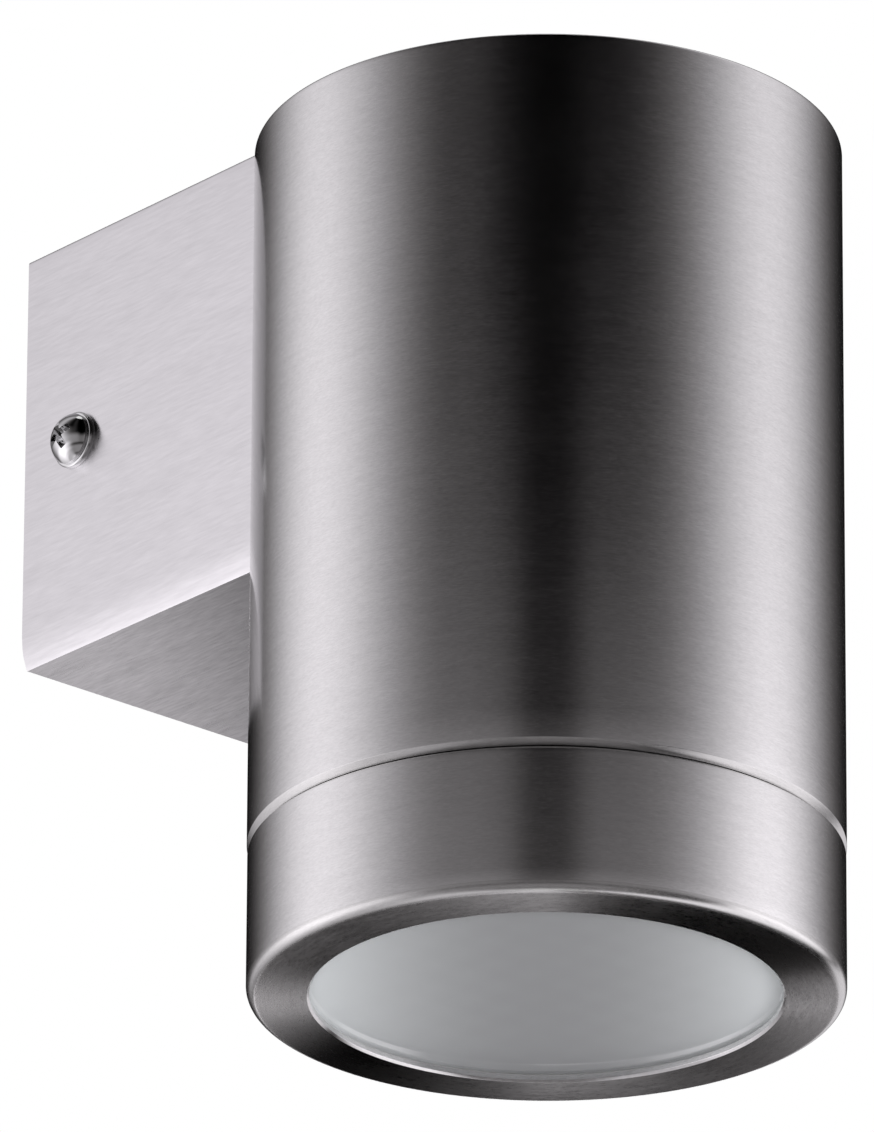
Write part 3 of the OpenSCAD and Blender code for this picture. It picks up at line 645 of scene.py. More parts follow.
@dataclass(frozen=True)
class SatinFace(Finish):
    """The etched back of the glass: a fine frost that spreads the light, with painted light: its colour is lighter
    toward two opposite sides, standing in for the tube's inside lighting them.

    Attributes:
        painted_light_colour: Painted light: its colour toward the two sides that the tube's inside lights most.
        side_turn: Direction of one of those sides, in degrees from +X.
        side_fall: How steeply the middle's colour turns into that of the sides.
        reach: Distance of the lightest places from the middle.
        lattice: Distance between the lines of the frost's faint lattice.
        contrast: How far specks, clouds and lattice change the colour.
        speck_scale: Specks for each metre.
        speck_share: The specks' share in that change.
        cloud_scale: Clouds for each metre.
        depth: Height of the specks.
        passing: Share of the light that the frost lets through.
    """

    painted_light_colour: Colour = (0.94, 0.95, 0.985)
    side_turn: float = -41.4
    side_fall: float = 2.2
    reach: float = 29 * MM
    lattice: float = 0.9 * FULL_TURN * MM
    contrast: float = 0.08
    speck_scale: float = 5200.0
    speck_share: float = 0.4
    cloud_scale: float = 55.0
    depth: float = 5e-6
    passing: float = 0.12

    def spread(self, bench: NodeBench) -> bpy.types.NodeSocket:
        """How much painted light a place gets, from 0 in the middle to 1 at the lightest sides.

        Args:
            bench: The material under construction.

        Returns:
            The socket of the share.
        """
        turn = math.radians(self.side_turn)
        parts = bench.add("ShaderNodeSeparateXYZ", {"Vector": bench.place()})
        x, y = parts.outputs["X"], bench.math("SUBTRACT", parts.outputs["Y"], AXIS_Y)
        aside = bench.math("ADD", bench.math("MULTIPLY", x, math.cos(turn) / self.reach),
                           bench.math("MULTIPLY", y, math.sin(turn) / self.reach))
        return bench.math("POWER", bench.math("ABSOLUTE", aside), self.side_fall)

    def build(self, bench: NodeBench) -> bpy.types.Material:
        """Builds the frost.

        Args:
            bench: The empty material to fill.

        Returns:
            The finished material.
        """
        place = bench.place()
        speck = bench.noise(place, self.speck_scale, detail=3, rough=0.7)
        cloud = bench.noise(place, self.cloud_scale)
        scale = FULL_TURN / self.lattice / WAVE_FACTOR
        weave = bench.average(bench.wave(place, scale, "X"), bench.wave(place, scale, "Y"), 0.5)
        grey = bench.average(speck, bench.average(cloud, weave, 0.5), self.speck_share)
        change = bench.math("MULTIPLY", bench.math("SUBTRACT", grey, 0.5), self.contrast)
        # Painted light: the frost's colour gets lighter toward two opposite sides, in place of the tube's inside
        # lighting it
        colour = bench.tint(bench.math("ADD", self.spread(bench), change), self.colour, self.painted_light_colour)
        inputs = {"Color": colour, "Normal": bench.bump(speck, self.depth)}
        frost, through = (bench.add(f"ShaderNodeBsdf{kind}", inputs) for kind in ("Diffuse", "Translucent"))
        return bench.close(bench.blend(self.passing, frost, through))


@dataclass(frozen=True)
class FloorPaint(Finish):
    """Plain pale matt paint that shows nearly white to the camera.

    Attributes:
        glow: Share of plain white that the camera, metal and glass see on it.
        cloud_scale: Clouds of colour for each metre.
        contrast: How much the colour changes between the clouds.
    """

    glow: float = 0.75
    cloud_scale: float = 1.5
    contrast: float = 0.015

    def build(self, bench: NodeBench) -> bpy.types.Material:
        """Builds the paint.

        Args:
            bench: The empty material to fill.

        Returns:
            The finished material.
        """
        cloud = bench.noise(bench.place(), self.cloud_scale)
        colour = bench.tint(cloud, shade(self.colour, 1 - self.contrast), shade(self.colour, 1 + self.contrast))
        paint = bench.add("ShaderNodeBsdfPrincipled", {"Base Color": colour, "Roughness": self.roughness})
        white = bench.add("ShaderNodeEmission", {"Strength": 1.0})
        material = bench.close(bench.blend(bench.math("MULTIPLY", bench.seen(), self.glow), paint, white))
        material.cycles.emission_sampling = "NONE"
        return material


@dataclass(frozen=True)
class Finishes:
    """Every finish of the light."""

    round_steel: BrushedSteel = BrushedSteel("steel_brushed_round", (0.705, 0.70, 0.70), 0.1414)
    edge_steel: BrushedSteel = BrushedSteel("steel_brushed_edge", (0.65, 0.645, 0.64), 0.221, blur=(0.02, 0.12))
    long_steel: BrushedSteel = BrushedSteel("steel_brushed_long", (0.68, 0.67, 0.685), 0.285, grain=Grain.LONG,
                                            blur=(0.03, 0.22), ground=True, streak_length=4.5 * MM,
                                            streak_width=0.42 * MM, contrast=0.08, dullness=0.06)
    under_steel: BrushedSteel = BrushedSteel("steel_brushed_under", (0.71, 0.70, 0.71), 0.285, grain=Grain.LONG,
                                             blur=(0.03, 0.22), ground=True, streak_length=3.5 * MM,
                                             streak_width=0.42 * MM, contrast=0.2, dullness=0.06)
    face_steel: BrushedSteel = BrushedSteel("steel_turned_face", (0.63, 0.62, 0.615), 0.278, blur=(0.02, 0.3),
                                            ground=True, streak_length=1.0 * MM, streak_width=0.12 * MM,
                                            contrast=0.22, dullness=0.1)
    turned_steel: BrushedSteel = BrushedSteel("steel_turned", (0.55, 0.54, 0.53), 0.22, streak_length=60 * MM,
                                              streak_width=0.12 * MM, contrast=0.08)
    polished_steel: PlainMetal = PlainMetal("steel_polished", (0.74, 0.74, 0.745), 0.06, mark_size=0.8 * MM,
                                            contrast=0.03, depth=0.4e-6)
    plated_steel: PlainMetal = PlainMetal("steel_zinc_plated", (0.62, 0.62, 0.60), 0.3, mark_size=0.35 * MM,
                                          contrast=0.1)
    brass: PlainMetal = PlainMetal("brass_turned", (0.72, 0.52, 0.24), 0.24, mark_size=0.25 * MM,
                                   stretch=(1.0, 1.0, 6.0))
    pin_steel: PlainMetal = PlainMetal("pins_nickel_plated", (0.68, 0.66, 0.62), 0.14, mark_size=0.3 * MM)
    clear_glass: ClearGlass = ClearGlass("glass_clear", (0.98, 0.99, 0.985), 0.02)
    satin_face: SatinFace = SatinFace("glass_satin_face", (0.405, 0.4, 0.42), 0.6)
    white_rubber: Moulded = Moulded("silicone_white", (0.78, 0.78, 0.76), 0.5, sheen=0.2)
    black_rubber: Moulded = Moulded("rubber_black", (0.025, 0.025, 0.026), 0.55, sheen=0.15)
    foam: Moulded = Moulded("foam_grey", (0.09, 0.09, 0.095), 0.9, grain_size=0.9 * MM, depth=60e-6, sheen=0.3,
                            contrast=0.25)
    white_plastic: Moulded = Moulded("plastic_white", (0.80, 0.80, 0.78), 0.38)
    clear_plastic: Moulded = Moulded("plastic_milky", (0.74, 0.76, 0.77), 0.12, grain_size=1.2 * MM, depth=3e-6,
                                     coat=0.5)
    ceramic: Moulded = Moulded("ceramic_glazed", (0.80, 0.77, 0.70), 0.28, grain_size=0.8 * MM, depth=14e-6,
                               coat=0.4)
    brown_cover: Moulded = Moulded("insulation_brown", (0.12, 0.045, 0.018), 0.35, depth=3e-6)
    blue_cover: Moulded = Moulded("insulation_blue", (0.02, 0.09, 0.36), 0.35, depth=3e-6)
    earth_cover: StripedCover = StripedCover("insulation_earth", (0.62, 0.55, 0.03), 0.35, band=(0.03, 0.22, 0.04))
    floor_paint: FloorPaint = FloorPaint("floor_paint", (0.82, 0.82, 0.81), 0.7)


FINISHES = Finishes()


# Mesh code

def add_object(name: str, data: bpy.types.ID) -> bpy.types.Object:
    """Adds an object with some data to the scene.

    Args:
        name: The object's name.
        data: Its mesh, lamp or camera.

    Returns:
        The object.
    """
    thing = bpy.data.objects.new(name, data)
    bpy.context.scene.collection.objects.link(thing)
    return thing


def add_solid(name: str, mesh: bmesh.types.BMesh) -> bpy.types.Object:
    """Adds an object with a mesh to the scene.

    Args:
        name: The object's name.
        mesh: Its mesh, which is used up.

    Returns:
        The object.
    """
    data = bpy.data.meshes.new(name)
    mesh.to_mesh(data)
    mesh.free()
    return add_object(name, data)


def fillet(corners: Sequence[tuple[float, ...]], steps: int = 5) -> Profile:
    """Turns a closed outline into points, with round corners.

    Args:
        corners: The outline's corners, each with its radius as an optional third number.
        steps: The number of stretches in each round corner.

    Returns:
        The points of the outline.
    """
    points: Profile = []
    count = len(corners)
    for i, corner in enumerate(corners):
        here = Vector(corner[:2])
        if len(corner) < 3:
            points.append((here.x, here.y))
            continue
        radius = corner[2]
        a = (Vector(corners[i - 1][:2]) - here).normalized()
        b = (Vector(corners[(i + 1) % count][:2]) - here).normalized()
        half = a.angle(b) / 2
        reach = radius / math.tan(half)
        centre = here + (a + b).normalized() * radius / math.sin(half)
        start, end = here + a * reach - centre, here + b * reach - centre
        turn = start.angle_signed(end)
        for k in range(steps + 1):
            spoke = Matrix.Rotation(-turn * k / steps, 2) @ start
            points.append((centre.x + spoke.x, centre.y + spoke.y))
    return points


def revolve(outline: Profile, segments: int = SEGMENTS, wave: Wave | None = None) -> bmesh.types.BMesh:
    """Spins a closed outline round the local Z axis.

    Args:
        outline: The outline's points, as radius and height.
        segments: The number of steps in a full turn.
        wave: Gives how far a point stands out, from its radius, height and angle.

    Returns:
        The spun mesh.
    """
    mesh = bmesh.new()
    rings = []
    for radius, height in outline:
        if radius < WELD:
            rings.append([mesh.verts.new((0, 0, height))])
            continue
        ring = []
        for k in range(segments):
            angle = FULL_TURN * k / segments
            reach = radius + (wave(radius, height, angle) if wave else 0)
            ring.append(mesh.verts.new((reach * math.cos(angle), reach * math.sin(angle), height)))
        rings.append(ring)
    for a, b in zip(rings, rings[1:] + rings[:1]):
        if len(a) == len(b) == 1:
            continue
        for k in range(segments):
            n = (k + 1) % segments
            if len(a) == 1:
                mesh.faces.new((a[0], b[k], b[n]))
            elif len(b) == 1:
                mesh.faces.new((a[k], b[0], a[n]))
            else:
                mesh.faces.new((a[k], b[k], b[n], a[n]))
    bmesh.ops.recalc_face_normals(mesh, faces=mesh.faces)
    return mesh


def ladder(start: float, end: float, step: float) -> list[float]:
    """Evenly spaced numbers from one to another.

    Args:
        start: The first number.
        end: The last number.
        step: About how far apart they are.

    Returns:
        The numbers.
    """
    count = max(1, round(abs(end - start) / step))
    return [start + (end - start) * k / count for k in range(count + 1)]


@dataclass(frozen=True)
class Thread:
    """A right-handed thread cut along a round face.

    Attributes:
        radius: Radius of the face before it is cut.
        depth: How far the thread moves the face, negative when it goes inwards.
        pitch: Distance between two turns.
        low: Height at which the thread starts.
        high: Height at which it ends.
        rows: The number of rows of points in one pitch.
        steepness: How fast its flanks rise, in depths for each pitch.
        flat: How much of that rise is left out, which leaves a flat between two turns.
    """

    radius: float
    depth: float
    pitch: float
    low: float
    high: float
    rows: int = 12
    steepness: float = 2.4
    flat: float = 0.1

    def heights(self) -> list[float]:
        """Heights of the rows of points that carry the thread."""
        return ladder(self.low, self.high, self.pitch / self.rows)

    def wave(self, radius: float, height: float, angle: float) -> float:
        """How far the thread moves one point.

        Args:
            radius: The point's radius before the cut.
            height: The point's height.
            angle: The point's angle round the axis.

        Returns:
            The move along the radius.
        """
        if abs(radius - self.radius) > WELD or not self.low <= height <= self.high:
            return 0.0
        phase = (height / self.pitch - angle / FULL_TURN) % 1
        ridge = min(1.0, max(0.0, self.steepness * abs(phase - 0.5) - self.flat))
        fade = min(1.0, (height - self.low) / self.pitch, (self.high - height) / self.pitch)
        return self.depth * ridge * fade


def finish_edges(mesh: bmesh.types.BMesh) -> None:
    """Shades faces smooth and keeps the edges sharp where the faces turn far.

    Args:
        mesh: The mesh.
    """
    for face in mesh.faces:
        face.smooth = True
    for edge in mesh.edges:
        edge.smooth = edge.is_manifold and edge.calc_face_angle(0.0) < SHARP_TURN


def cut(piece: bpy.types.Object, cutters: Sequence[bmesh.types.BMesh]) -> None:
    """Takes the space of some cutters away from a piece.

    Args:
        piece: The piece, which is changed.
        cutters: The cutters, which are used up.
    """
    for tool in cutters:
        bmesh.ops.recalc_face_normals(tool, faces=tool.faces)
        cutter = add_solid("cutter", tool)
        modifier = piece.modifiers.new("cut", "BOOLEAN")
        modifier.operation = "DIFFERENCE"
        modifier.solver = "EXACT"
        modifier.object = cutter
        bpy.context.view_layer.update()
        graph = bpy.context.evaluated_depsgraph_get()
        result = bpy.data.meshes.new_from_object(piece.evaluated_get(graph))
        piece.modifiers.remove(modifier)
        old, piece.data = piece.data, result
        result.name = piece.name
        for spent in (old, cutter.data):
            bpy.data.meshes.remove(spent)
    mesh = bmesh.new()
    mesh.from_mesh(piece.data)
    finish_edges(mesh)
    mesh.to_mesh(piece.data)
    mesh.free()


def round_bar(radius: float, start: Vector, end: Vector) -> bmesh.types.BMesh:
    """A round bar between two points, for cutting.

    Args:
        radius: The bar's radius.
        start: The middle of one end.
        end: The middle of the other end.

    Returns:
        The bar's mesh.
    """
    along = end - start
    mesh = bmesh.new()
    turn = along.to_track_quat("Z", "Y").to_matrix().to_4x4()
    place = Matrix.Translation((start + end) / 2) @ turn
    bmesh.ops.create_cone(mesh, cap_ends=True, segments=BAR_SEGMENTS, radius1=radius, radius2=radius,
                          depth=along.length, matrix=place)
    return mesh


@dataclass
class Piece:
    """What every finished piece needs besides its mesh.

    Attributes:
        name: The piece's own name.
        body: The CAD body that it moves with.
        nodes: The CAD nodes that it stands for.
        slot: Name of the slot for its finish; not used.
        finish: Its finish.
    """

    name: str
    body: str
    nodes: tuple[str, ...]
    slot: str
    finish: Finish

    def put(self, mesh: bmesh.types.BMesh) -> bpy.types.Object:
        """Makes the object from its mesh, dresses it and puts it on its body.

        Args:
            mesh: The mesh in its place, which is used up.

        Returns:
            The finished object.
        """
        finish_edges(mesh)
        piece = add_solid(self.name, mesh)
        piece.data.materials.append(self.finish.make())
        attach(piece, self.body)
        if self.nodes:
            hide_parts(*self.nodes)
        log.info("%s: %d faces, on %s", self.name, len(piece.data.polygons), self.body)
        return piece

    def spin(self, outline: Profile, wave: Wave | None = None) -> bpy.types.Object:
        """Makes the object by spinning an outline round the tube's axis.

        Args:
            outline: The outline's points, as radius and height.
            wave: Gives how far a point stands out, from its radius, height and angle.

        Returns:
            The finished object.
        """
        mesh = revolve(outline, wave=wave)
        mesh.transform(Matrix.Translation((0, AXIS_Y, 0)))
        return self.put(mesh)

    def dress(self, piece: bpy.types.Object, finish: Finish, chosen: Callable[[bpy.types.MeshPolygon], bool]) -> None:
        """Gives some faces of the piece another finish.

        Args:
            piece: The piece.
            finish: The other finish.
            chosen: Tells whether a face gets it.
        """
        piece.data.materials.append(finish.make())
        for face in piece.data.polygons:
            if chosen(face):
                face.material_index = len(piece.data.materials) - 1

    def refine(self, edge: float) -> None:
        """Makes the object from the CAD node's own shape, with its edges eased.

        Args:
            edge: Width of the eased edges.
        """
        mesh = bmesh.new()
        for node in self.nodes:
            mesh.from_mesh(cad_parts[node].data)
        bmesh.ops.remove_doubles(mesh, verts=mesh.verts, dist=WELD)
        bmesh.ops.dissolve_limit(mesh, angle_limit=FLAT_TURN, verts=mesh.verts, edges=mesh.edges)
        bmesh.ops.recalc_face_normals(mesh, faces=mesh.faces)
        piece = self.put(mesh)
        if edge > 0:
            easing = piece.modifiers.new("eased_edges", "BEVEL")
            easing.width = edge
            easing.segments = EASED_STEPS
            easing.limit_method = "ANGLE"
            easing.angle_limit = EASED_TURN
            easing.harden_normals = True


# The sub-assemblies

@dataclass
class TubeShell:
    """The upright tube and the disc welded into its top.

    Attributes:
        bevel: Bevel on the lower outer edge.
        bevel_normals: Heights between which the normals of its faces lie.
        soft: Rounding at both ends of that bevel.
        top_edge: Rounding of the upper outer edge.
        row: About the distance between the rows of points in the tube's wall.
        weld_groove: Width of the fine line round the disc.
        lead_hole: Radius of the hole that the leads take.
        drill_reach: How far the drill for that hole stands out of the tube, and how far it goes in.
        disc_gap: Gap round the disc.
        disc_edge: Rounding of the disc's lower edge.
        disc_flat: Share of the disc's radius inside its slightly raised edge.
        disc_dip: How far the disc lies below the tube's top there, and half as far as in its middle.
    """

    bevel: float = 0.8 * MM
    bevel_normals: tuple[float, float] = (-0.95, -0.1)
    soft: float = 0.08 * MM
    top_edge: float = 0.35 * MM
    row: float = 4 * MM
    weld_groove: float = 0.12 * MM
    lead_hole: float = 4.85 * MM
    drill_reach: tuple[float, float] = (2 * MM, 4 * MM)
    disc_gap: float = 0.01 * MM
    disc_edge: float = 0.1 * MM
    disc_flat: float = 0.96
    disc_dip: float = 0.01 * MM

    def __post_init__(self) -> None:
        """Reads the tube's and the disc's sizes from the frame."""
        tube, disc = Span.of("tube"), Span.of("top_cap")
        self.radius = tube.radius()
        self.bore = max(disc.size.x, disc.size.y) / 2
        self.low, self.high = tube.low.z, tube.high.z
        self.disc_low = disc.low.z

    def build_tube(self) -> None:
        """Builds the tube with its bevelled foot and the hole behind the arm."""
        bevel_top = self.low + self.bevel
        wall = [(self.radius, z) for z in ladder(bevel_top + self.soft, self.high - 2 * self.top_edge, self.row)]
        foot = [(self.bore, self.low), (self.radius - self.bevel, self.low, self.soft),
                (self.radius, bevel_top, self.soft)]
        top = [(self.radius, self.high, self.top_edge), (self.bore, self.high, self.weld_groove)]
        piece = Piece("tube_shell", "body", ("tube",), "brushed_steel", FINISHES.round_steel)
        shell = piece.spin(fillet([*foot, *wall[1:], *top]))
        least, most = self.bevel_normals
        piece.dress(shell, FINISHES.edge_steel, lambda face: face.center.z < bevel_top and
                    least < face.normal.z < most)
        height = Span.of("tube_grommet").centre.z
        wall_y = AXIS_Y + self.radius
        outside, inside = self.drill_reach
        cut(shell, [round_bar(self.lead_hole, Vector((0, wall_y + outside, height)),
                              Vector((0, wall_y - inside, height)))])

    def build_disc(self) -> None:
        """Builds the disc in the tube's top, with a dressed weld round it."""
        reach = self.bore - self.disc_gap
        outline = fillet([(0, self.disc_low), (reach, self.disc_low, self.disc_edge),
                          (reach, self.high, self.weld_groove), (self.disc_flat * reach, self.high - self.disc_dip),
                          (0, self.high - 2 * self.disc_dip)])
        Piece("top_disc", "body", ("top_cap",), "brushed_steel", FINISHES.round_steel).spin(outline)

    def build(self) -> None:
        """Builds both pieces."""
        self.build_tube()
        self.build_disc()


@dataclass
class ArmShell:
    """The folded square arm, coped to the tube.

    Attributes:
        sheet: Thickness of the folded sheet.
        bend: Inside radius of the bends.
        screw_hole: Radius of the side screws' holes.
        drill_start: Where the drill for them starts, as a share of the arm's half width.
        drill_out: How far that drill stands out of the arm.
        lower_corner: How far a lower corner's outside stands back from a sharp one, across the side and up it, in mm.
        upper_corner: The same for the upper corners.
        under_normal: Height below which the normals of its underside lie.
        rows: The number of stretches along the arm.
        flat_steps: The number of stretches across each flat side.
        texture_scale: Units of the texture coordinates for each metre.
    """

    sheet: float = 1.2 * MM
    bend: float = 0.4 * MM
    screw_hole: float = 2.25 * MM
    drill_start: float = 0.8
    drill_out: float = 3 * MM
    lower_corner: tuple[tuple[float, float], ...] = ((0, 4.6), (0.11, 3.0), (0.285, 1.9), (0.36, 1.65), (0.53, 1.15),
                                                     (0.70, 0.65), (0.86, 0.2), (0.98, 0))
    upper_corner: tuple[tuple[float, float], ...] = ((0, 0.5), (0.01, 0.36), (0.04, 0.24), (0.09, 0.15), (0.16, 0.085),
                                                     (0.25, 0.04), (0.36, 0.01), (0.5, 0))
    under_normal: float = -0.95
    rows: int = 16
    flat_steps: int = 40
    texture_scale: float = 10.0

    def __post_init__(self) -> None:
        """Reads the arm's and the tube's sizes from the frame."""
        arm = Span.of("arm_box")
        self.half_width, self.half_height = arm.size.x / 2, arm.size.z / 2
        self.tube_radius = Span.of("tube").radius()
        self.screw_y = Span.of("left_screw").centre.y

    def section(self, half_width: float, half_height: float, upper: Profile, lower: Profile) -> Profile:
        """The arm's outline at one side of the sheet.

        Args:
            half_width: Half of the outline's width.
            half_height: Half of its height.
            upper: How far the upper corners stand back from sharp ones, from the side to the top.
            lower: The same for the lower corners, with as many points.

        Returns:
            The outline's points, as x and z.
        """
        corners = []
        for quarter, (sx, sz) in enumerate(((1, 1), (-1, 1), (-1, -1), (1, -1))):
            bend = [(sx * (half_width - dx), sz * (half_height - dz)) for dx, dz in (upper if sz > 0 else lower)]
            corners.append(bend[::-1] if quarter % 2 else bend)
        points: Profile = []
        for bend, following in zip(corners, corners[1:] + corners[:1]):
            points += bend
            last, first = bend[-1], following[0]
            points += [(last[0] + (first[0] - last[0]) * k / self.flat_steps,
                        last[1] + (first[1] - last[1]) * k / self.flat_steps) for k in range(1, self.flat_steps)]
        return points

    def outlines(self) -> tuple[Profile, Profile]:
        """The outlines of the sheet's outside and inside."""
        upper, lower = ([(dx * MM, dz * MM) for dx, dz in corner] for corner in (self.upper_corner, self.lower_corner))
        turns = [math.pi / 2 * k / (len(lower) - 1) for k in range(len(lower))]
        inside = [(self.bend * (1 - math.cos(turn)), self.bend * (1 - math.sin(turn))) for turn in turns]
        return (self.section(self.half_width, self.half_height, upper, lower),
                self.section(self.half_width - self.sheet, self.half_height - self.sheet, inside, inside))

    def cope(self, x: float) -> float:
        """Where the arm's front edge meets the tube, at a sideways place."""
        return AXIS_Y + math.sqrt(self.tube_radius ** 2 - x * x)

    def folded_sheet(self) -> bmesh.types.BMesh:
        """Builds the folded sheet, with the length along the arm as a texture coordinate.

        Returns:
            The sheet's mesh.
        """
        mesh = bmesh.new()
        layer = mesh.loops.layers.uv.new("length")
        outer, inner = ([[mesh.verts.new((x, self.cope(x) * r / self.rows, z)) for x, z in outline]
                         for r in range(self.rows + 1)] for outline in self.outlines())
        count = len(outer[0])
        pairs = [(k, (k + 1) % count) for k in range(count)]
        rows = [(r, r + 1) for r in range(self.rows)]
        quads = [(outer[r][k], outer[s][k], outer[s][n], outer[r][n]) for r, s in rows for k, n in pairs]
        quads += [(inner[r][n], inner[s][n], inner[s][k], inner[r][k]) for r, s in rows for k, n in pairs]
        quads += [(outer[0][k], outer[0][n], inner[0][n], inner[0][k]) for k, n in pairs]
        quads += [(inner[-1][k], inner[-1][n], outer[-1][n], outer[-1][k]) for k, n in pairs]
        for quad in quads:
            mesh.faces.new(quad)
        bmesh.ops.recalc_face_normals(mesh, faces=mesh.faces)
        for face in mesh.faces:
            for loop in face.loops:
                place = loop.vert.co
                loop[layer].uv = (place.y * self.texture_scale, (place.x + place.z) * self.texture_scale)
        return mesh

    def build(self) -> None:
        """Builds the arm as one folded sheet, with the side screws' holes."""
        piece = Piece("arm_shell", "body", ("arm_box",), "brushed_steel", FINISHES.long_steel)
        shell = piece.put(self.folded_sheet())
        piece.dress(shell, FINISHES.under_steel, lambda face: face.normal.z < self.under_normal)
        start, end = self.drill_start * self.half_width, self.half_width + self.drill_out
        cut(shell, [round_bar(self.screw_hole, Vector((side.value * start, self.screw_y, 0)),
                              Vector((side.value * end, self.screw_y, 0))) for side in Side])


@dataclass
class BezelRing:
    """The ring that screws onto the tube's foot.

    Attributes:
        lower_edge: Rounding of the lower outer edge.
        face_width: Width of the flat lower face.
        face_room: Height within which a face belongs to that flat.
        face_normal: Height below which the normals of the flat lie.
        lip: Thickness of the lip under the glass.
        broken_edge: Chamfer round the opening.
        soft: Rounding of the turned edges.
        row: About the distance between the rows of points in the ring's wall, and of the first from its foot.
        pocket: Radius of the glass's pocket.
        pocket_rise: Height of the pocket over the glass.
        thread_radius: Radius of the thread's crests.
        thread_depth: Depth of the thread.
        thread_rise: Height from the pocket to the thread.
        thread_run_out: Height from the thread to the seal's room.
        pitch: The thread's pitch.
        groove_radius: Radius of the seal's room at the top.
        groove_depth: Depth of the seal's room.
        groove_edge: Rounding of its mouth.
        gap: Gap between the ring's top and the tube's foot.
        upper_edge: Chamfer of the upper outer edge.
        upper_normals: Heights between which the normals of that chamfer lie.
        upper_row: Distance of the wall's last row of points from that chamfer.
        corner_steps: The number of stretches in each round corner.
    """

    lower_edge: float = 1.4 * MM
    face_width: float = 8.0 * MM
    face_room: float = 0.02 * MM
    face_normal: float = -0.9
    lip: float = 0.97 * MM
    broken_edge: float = 0.3 * MM
    soft: float = 0.06 * MM
    row: float = 3 * MM
    pocket: float = 34.45 * MM
    pocket_rise: float = 0.5 * MM
    thread_radius: float = 35.08 * MM
    thread_depth: float = 0.7 * MM
    thread_rise: float = 0.6 * MM
    thread_run_out: float = 0.2 * MM
    pitch: float = 1.5 * MM
    groove_radius: float = 35.9 * MM
    groove_depth: float = 2.2 * MM
    groove_edge: float = 0.1 * MM
    gap: float = 0.12 * MM
    upper_edge: float = 0.35 * MM
    upper_normals: tuple[float, float] = (0.3, 0.9)
    upper_row: float = 0.5 * MM
    corner_steps: int = 8

    def __post_init__(self) -> None:
        """Reads the ring's and the glass's sizes from the frame, and works out its heights."""
        ring = Span.of("bezel_ring")
        self.radius = ring.radius()
        self.low = ring.low.z
        self.top = ring.high.z - self.gap
        self.groove = ring.high.z - self.groove_depth
        self.shelf = Span.of("lens_glass").high.z + self.pocket_rise

    def outline(self, thread: Thread) -> Profile:
        """The ring's outline.

        Args:
            thread: Its inside thread.

        Returns:
            The outline's points, as radius and height.
        """
        opening = self.radius - self.face_width
        corners = [(opening, self.low + self.broken_edge, self.soft), (opening + self.broken_edge, self.low, self.soft),
                   (self.radius, self.low, self.lower_edge)]
        chamfer = self.top - self.upper_edge
        wall = [(self.radius, z) for z in ladder(self.low + self.row, chamfer - self.upper_row, self.row)]
        top = [(self.radius, chamfer, self.soft), (self.radius - self.upper_edge, self.top, self.soft),
               (self.groove_radius, self.top, self.groove_edge), (self.groove_radius, self.groove),
               (self.thread_radius, self.groove)]
        inside = [(self.thread_radius, z) for z in reversed(thread.heights())]
        foot = [(self.thread_radius, self.shelf), (self.pocket, self.shelf, self.soft),
                (self.pocket, self.low + self.lip), (opening, self.low + self.lip, self.soft)]
        return fillet([*corners, *wall, *top, *inside, *foot], self.corner_steps)

    def dress(self, piece: Piece, ring: bpy.types.Object) -> None:
        """Gives the lower face and the two outer edges their own finishes.

        Args:
            piece: What the ring's piece needs.
            ring: The ring.
        """
        lowest, rounding = self.low + self.face_room, self.low + self.lower_edge
        flat_reach = (self.radius - self.lower_edge) ** 2
        least, most = self.upper_normals
        piece.dress(ring, FINISHES.face_steel, lambda face: face.center.z < lowest and
                    face.normal.z < self.face_normal)
        piece.dress(ring, FINISHES.edge_steel, lambda face: lowest < face.center.z < rounding and
                    face.center.x ** 2 + (face.center.y - AXIS_Y) ** 2 > flat_reach)
        piece.dress(ring, FINISHES.edge_steel, lambda face: self.top - self.upper_edge < face.center.z < self.top and
                    least < face.normal.z < most)

    def build(self) -> None:
        """Builds the ring with its inside thread."""
        thread = Thread(self.thread_radius, self.thread_depth, self.pitch, self.shelf + self.thread_rise,
                        self.groove - self.thread_run_out)
        piece = Piece("screw_ring", "ring", ("bezel_ring",), "brushed_steel", FINISHES.round_steel)
        self.dress(piece, piece.spin(self.outline(thread), thread.wave))


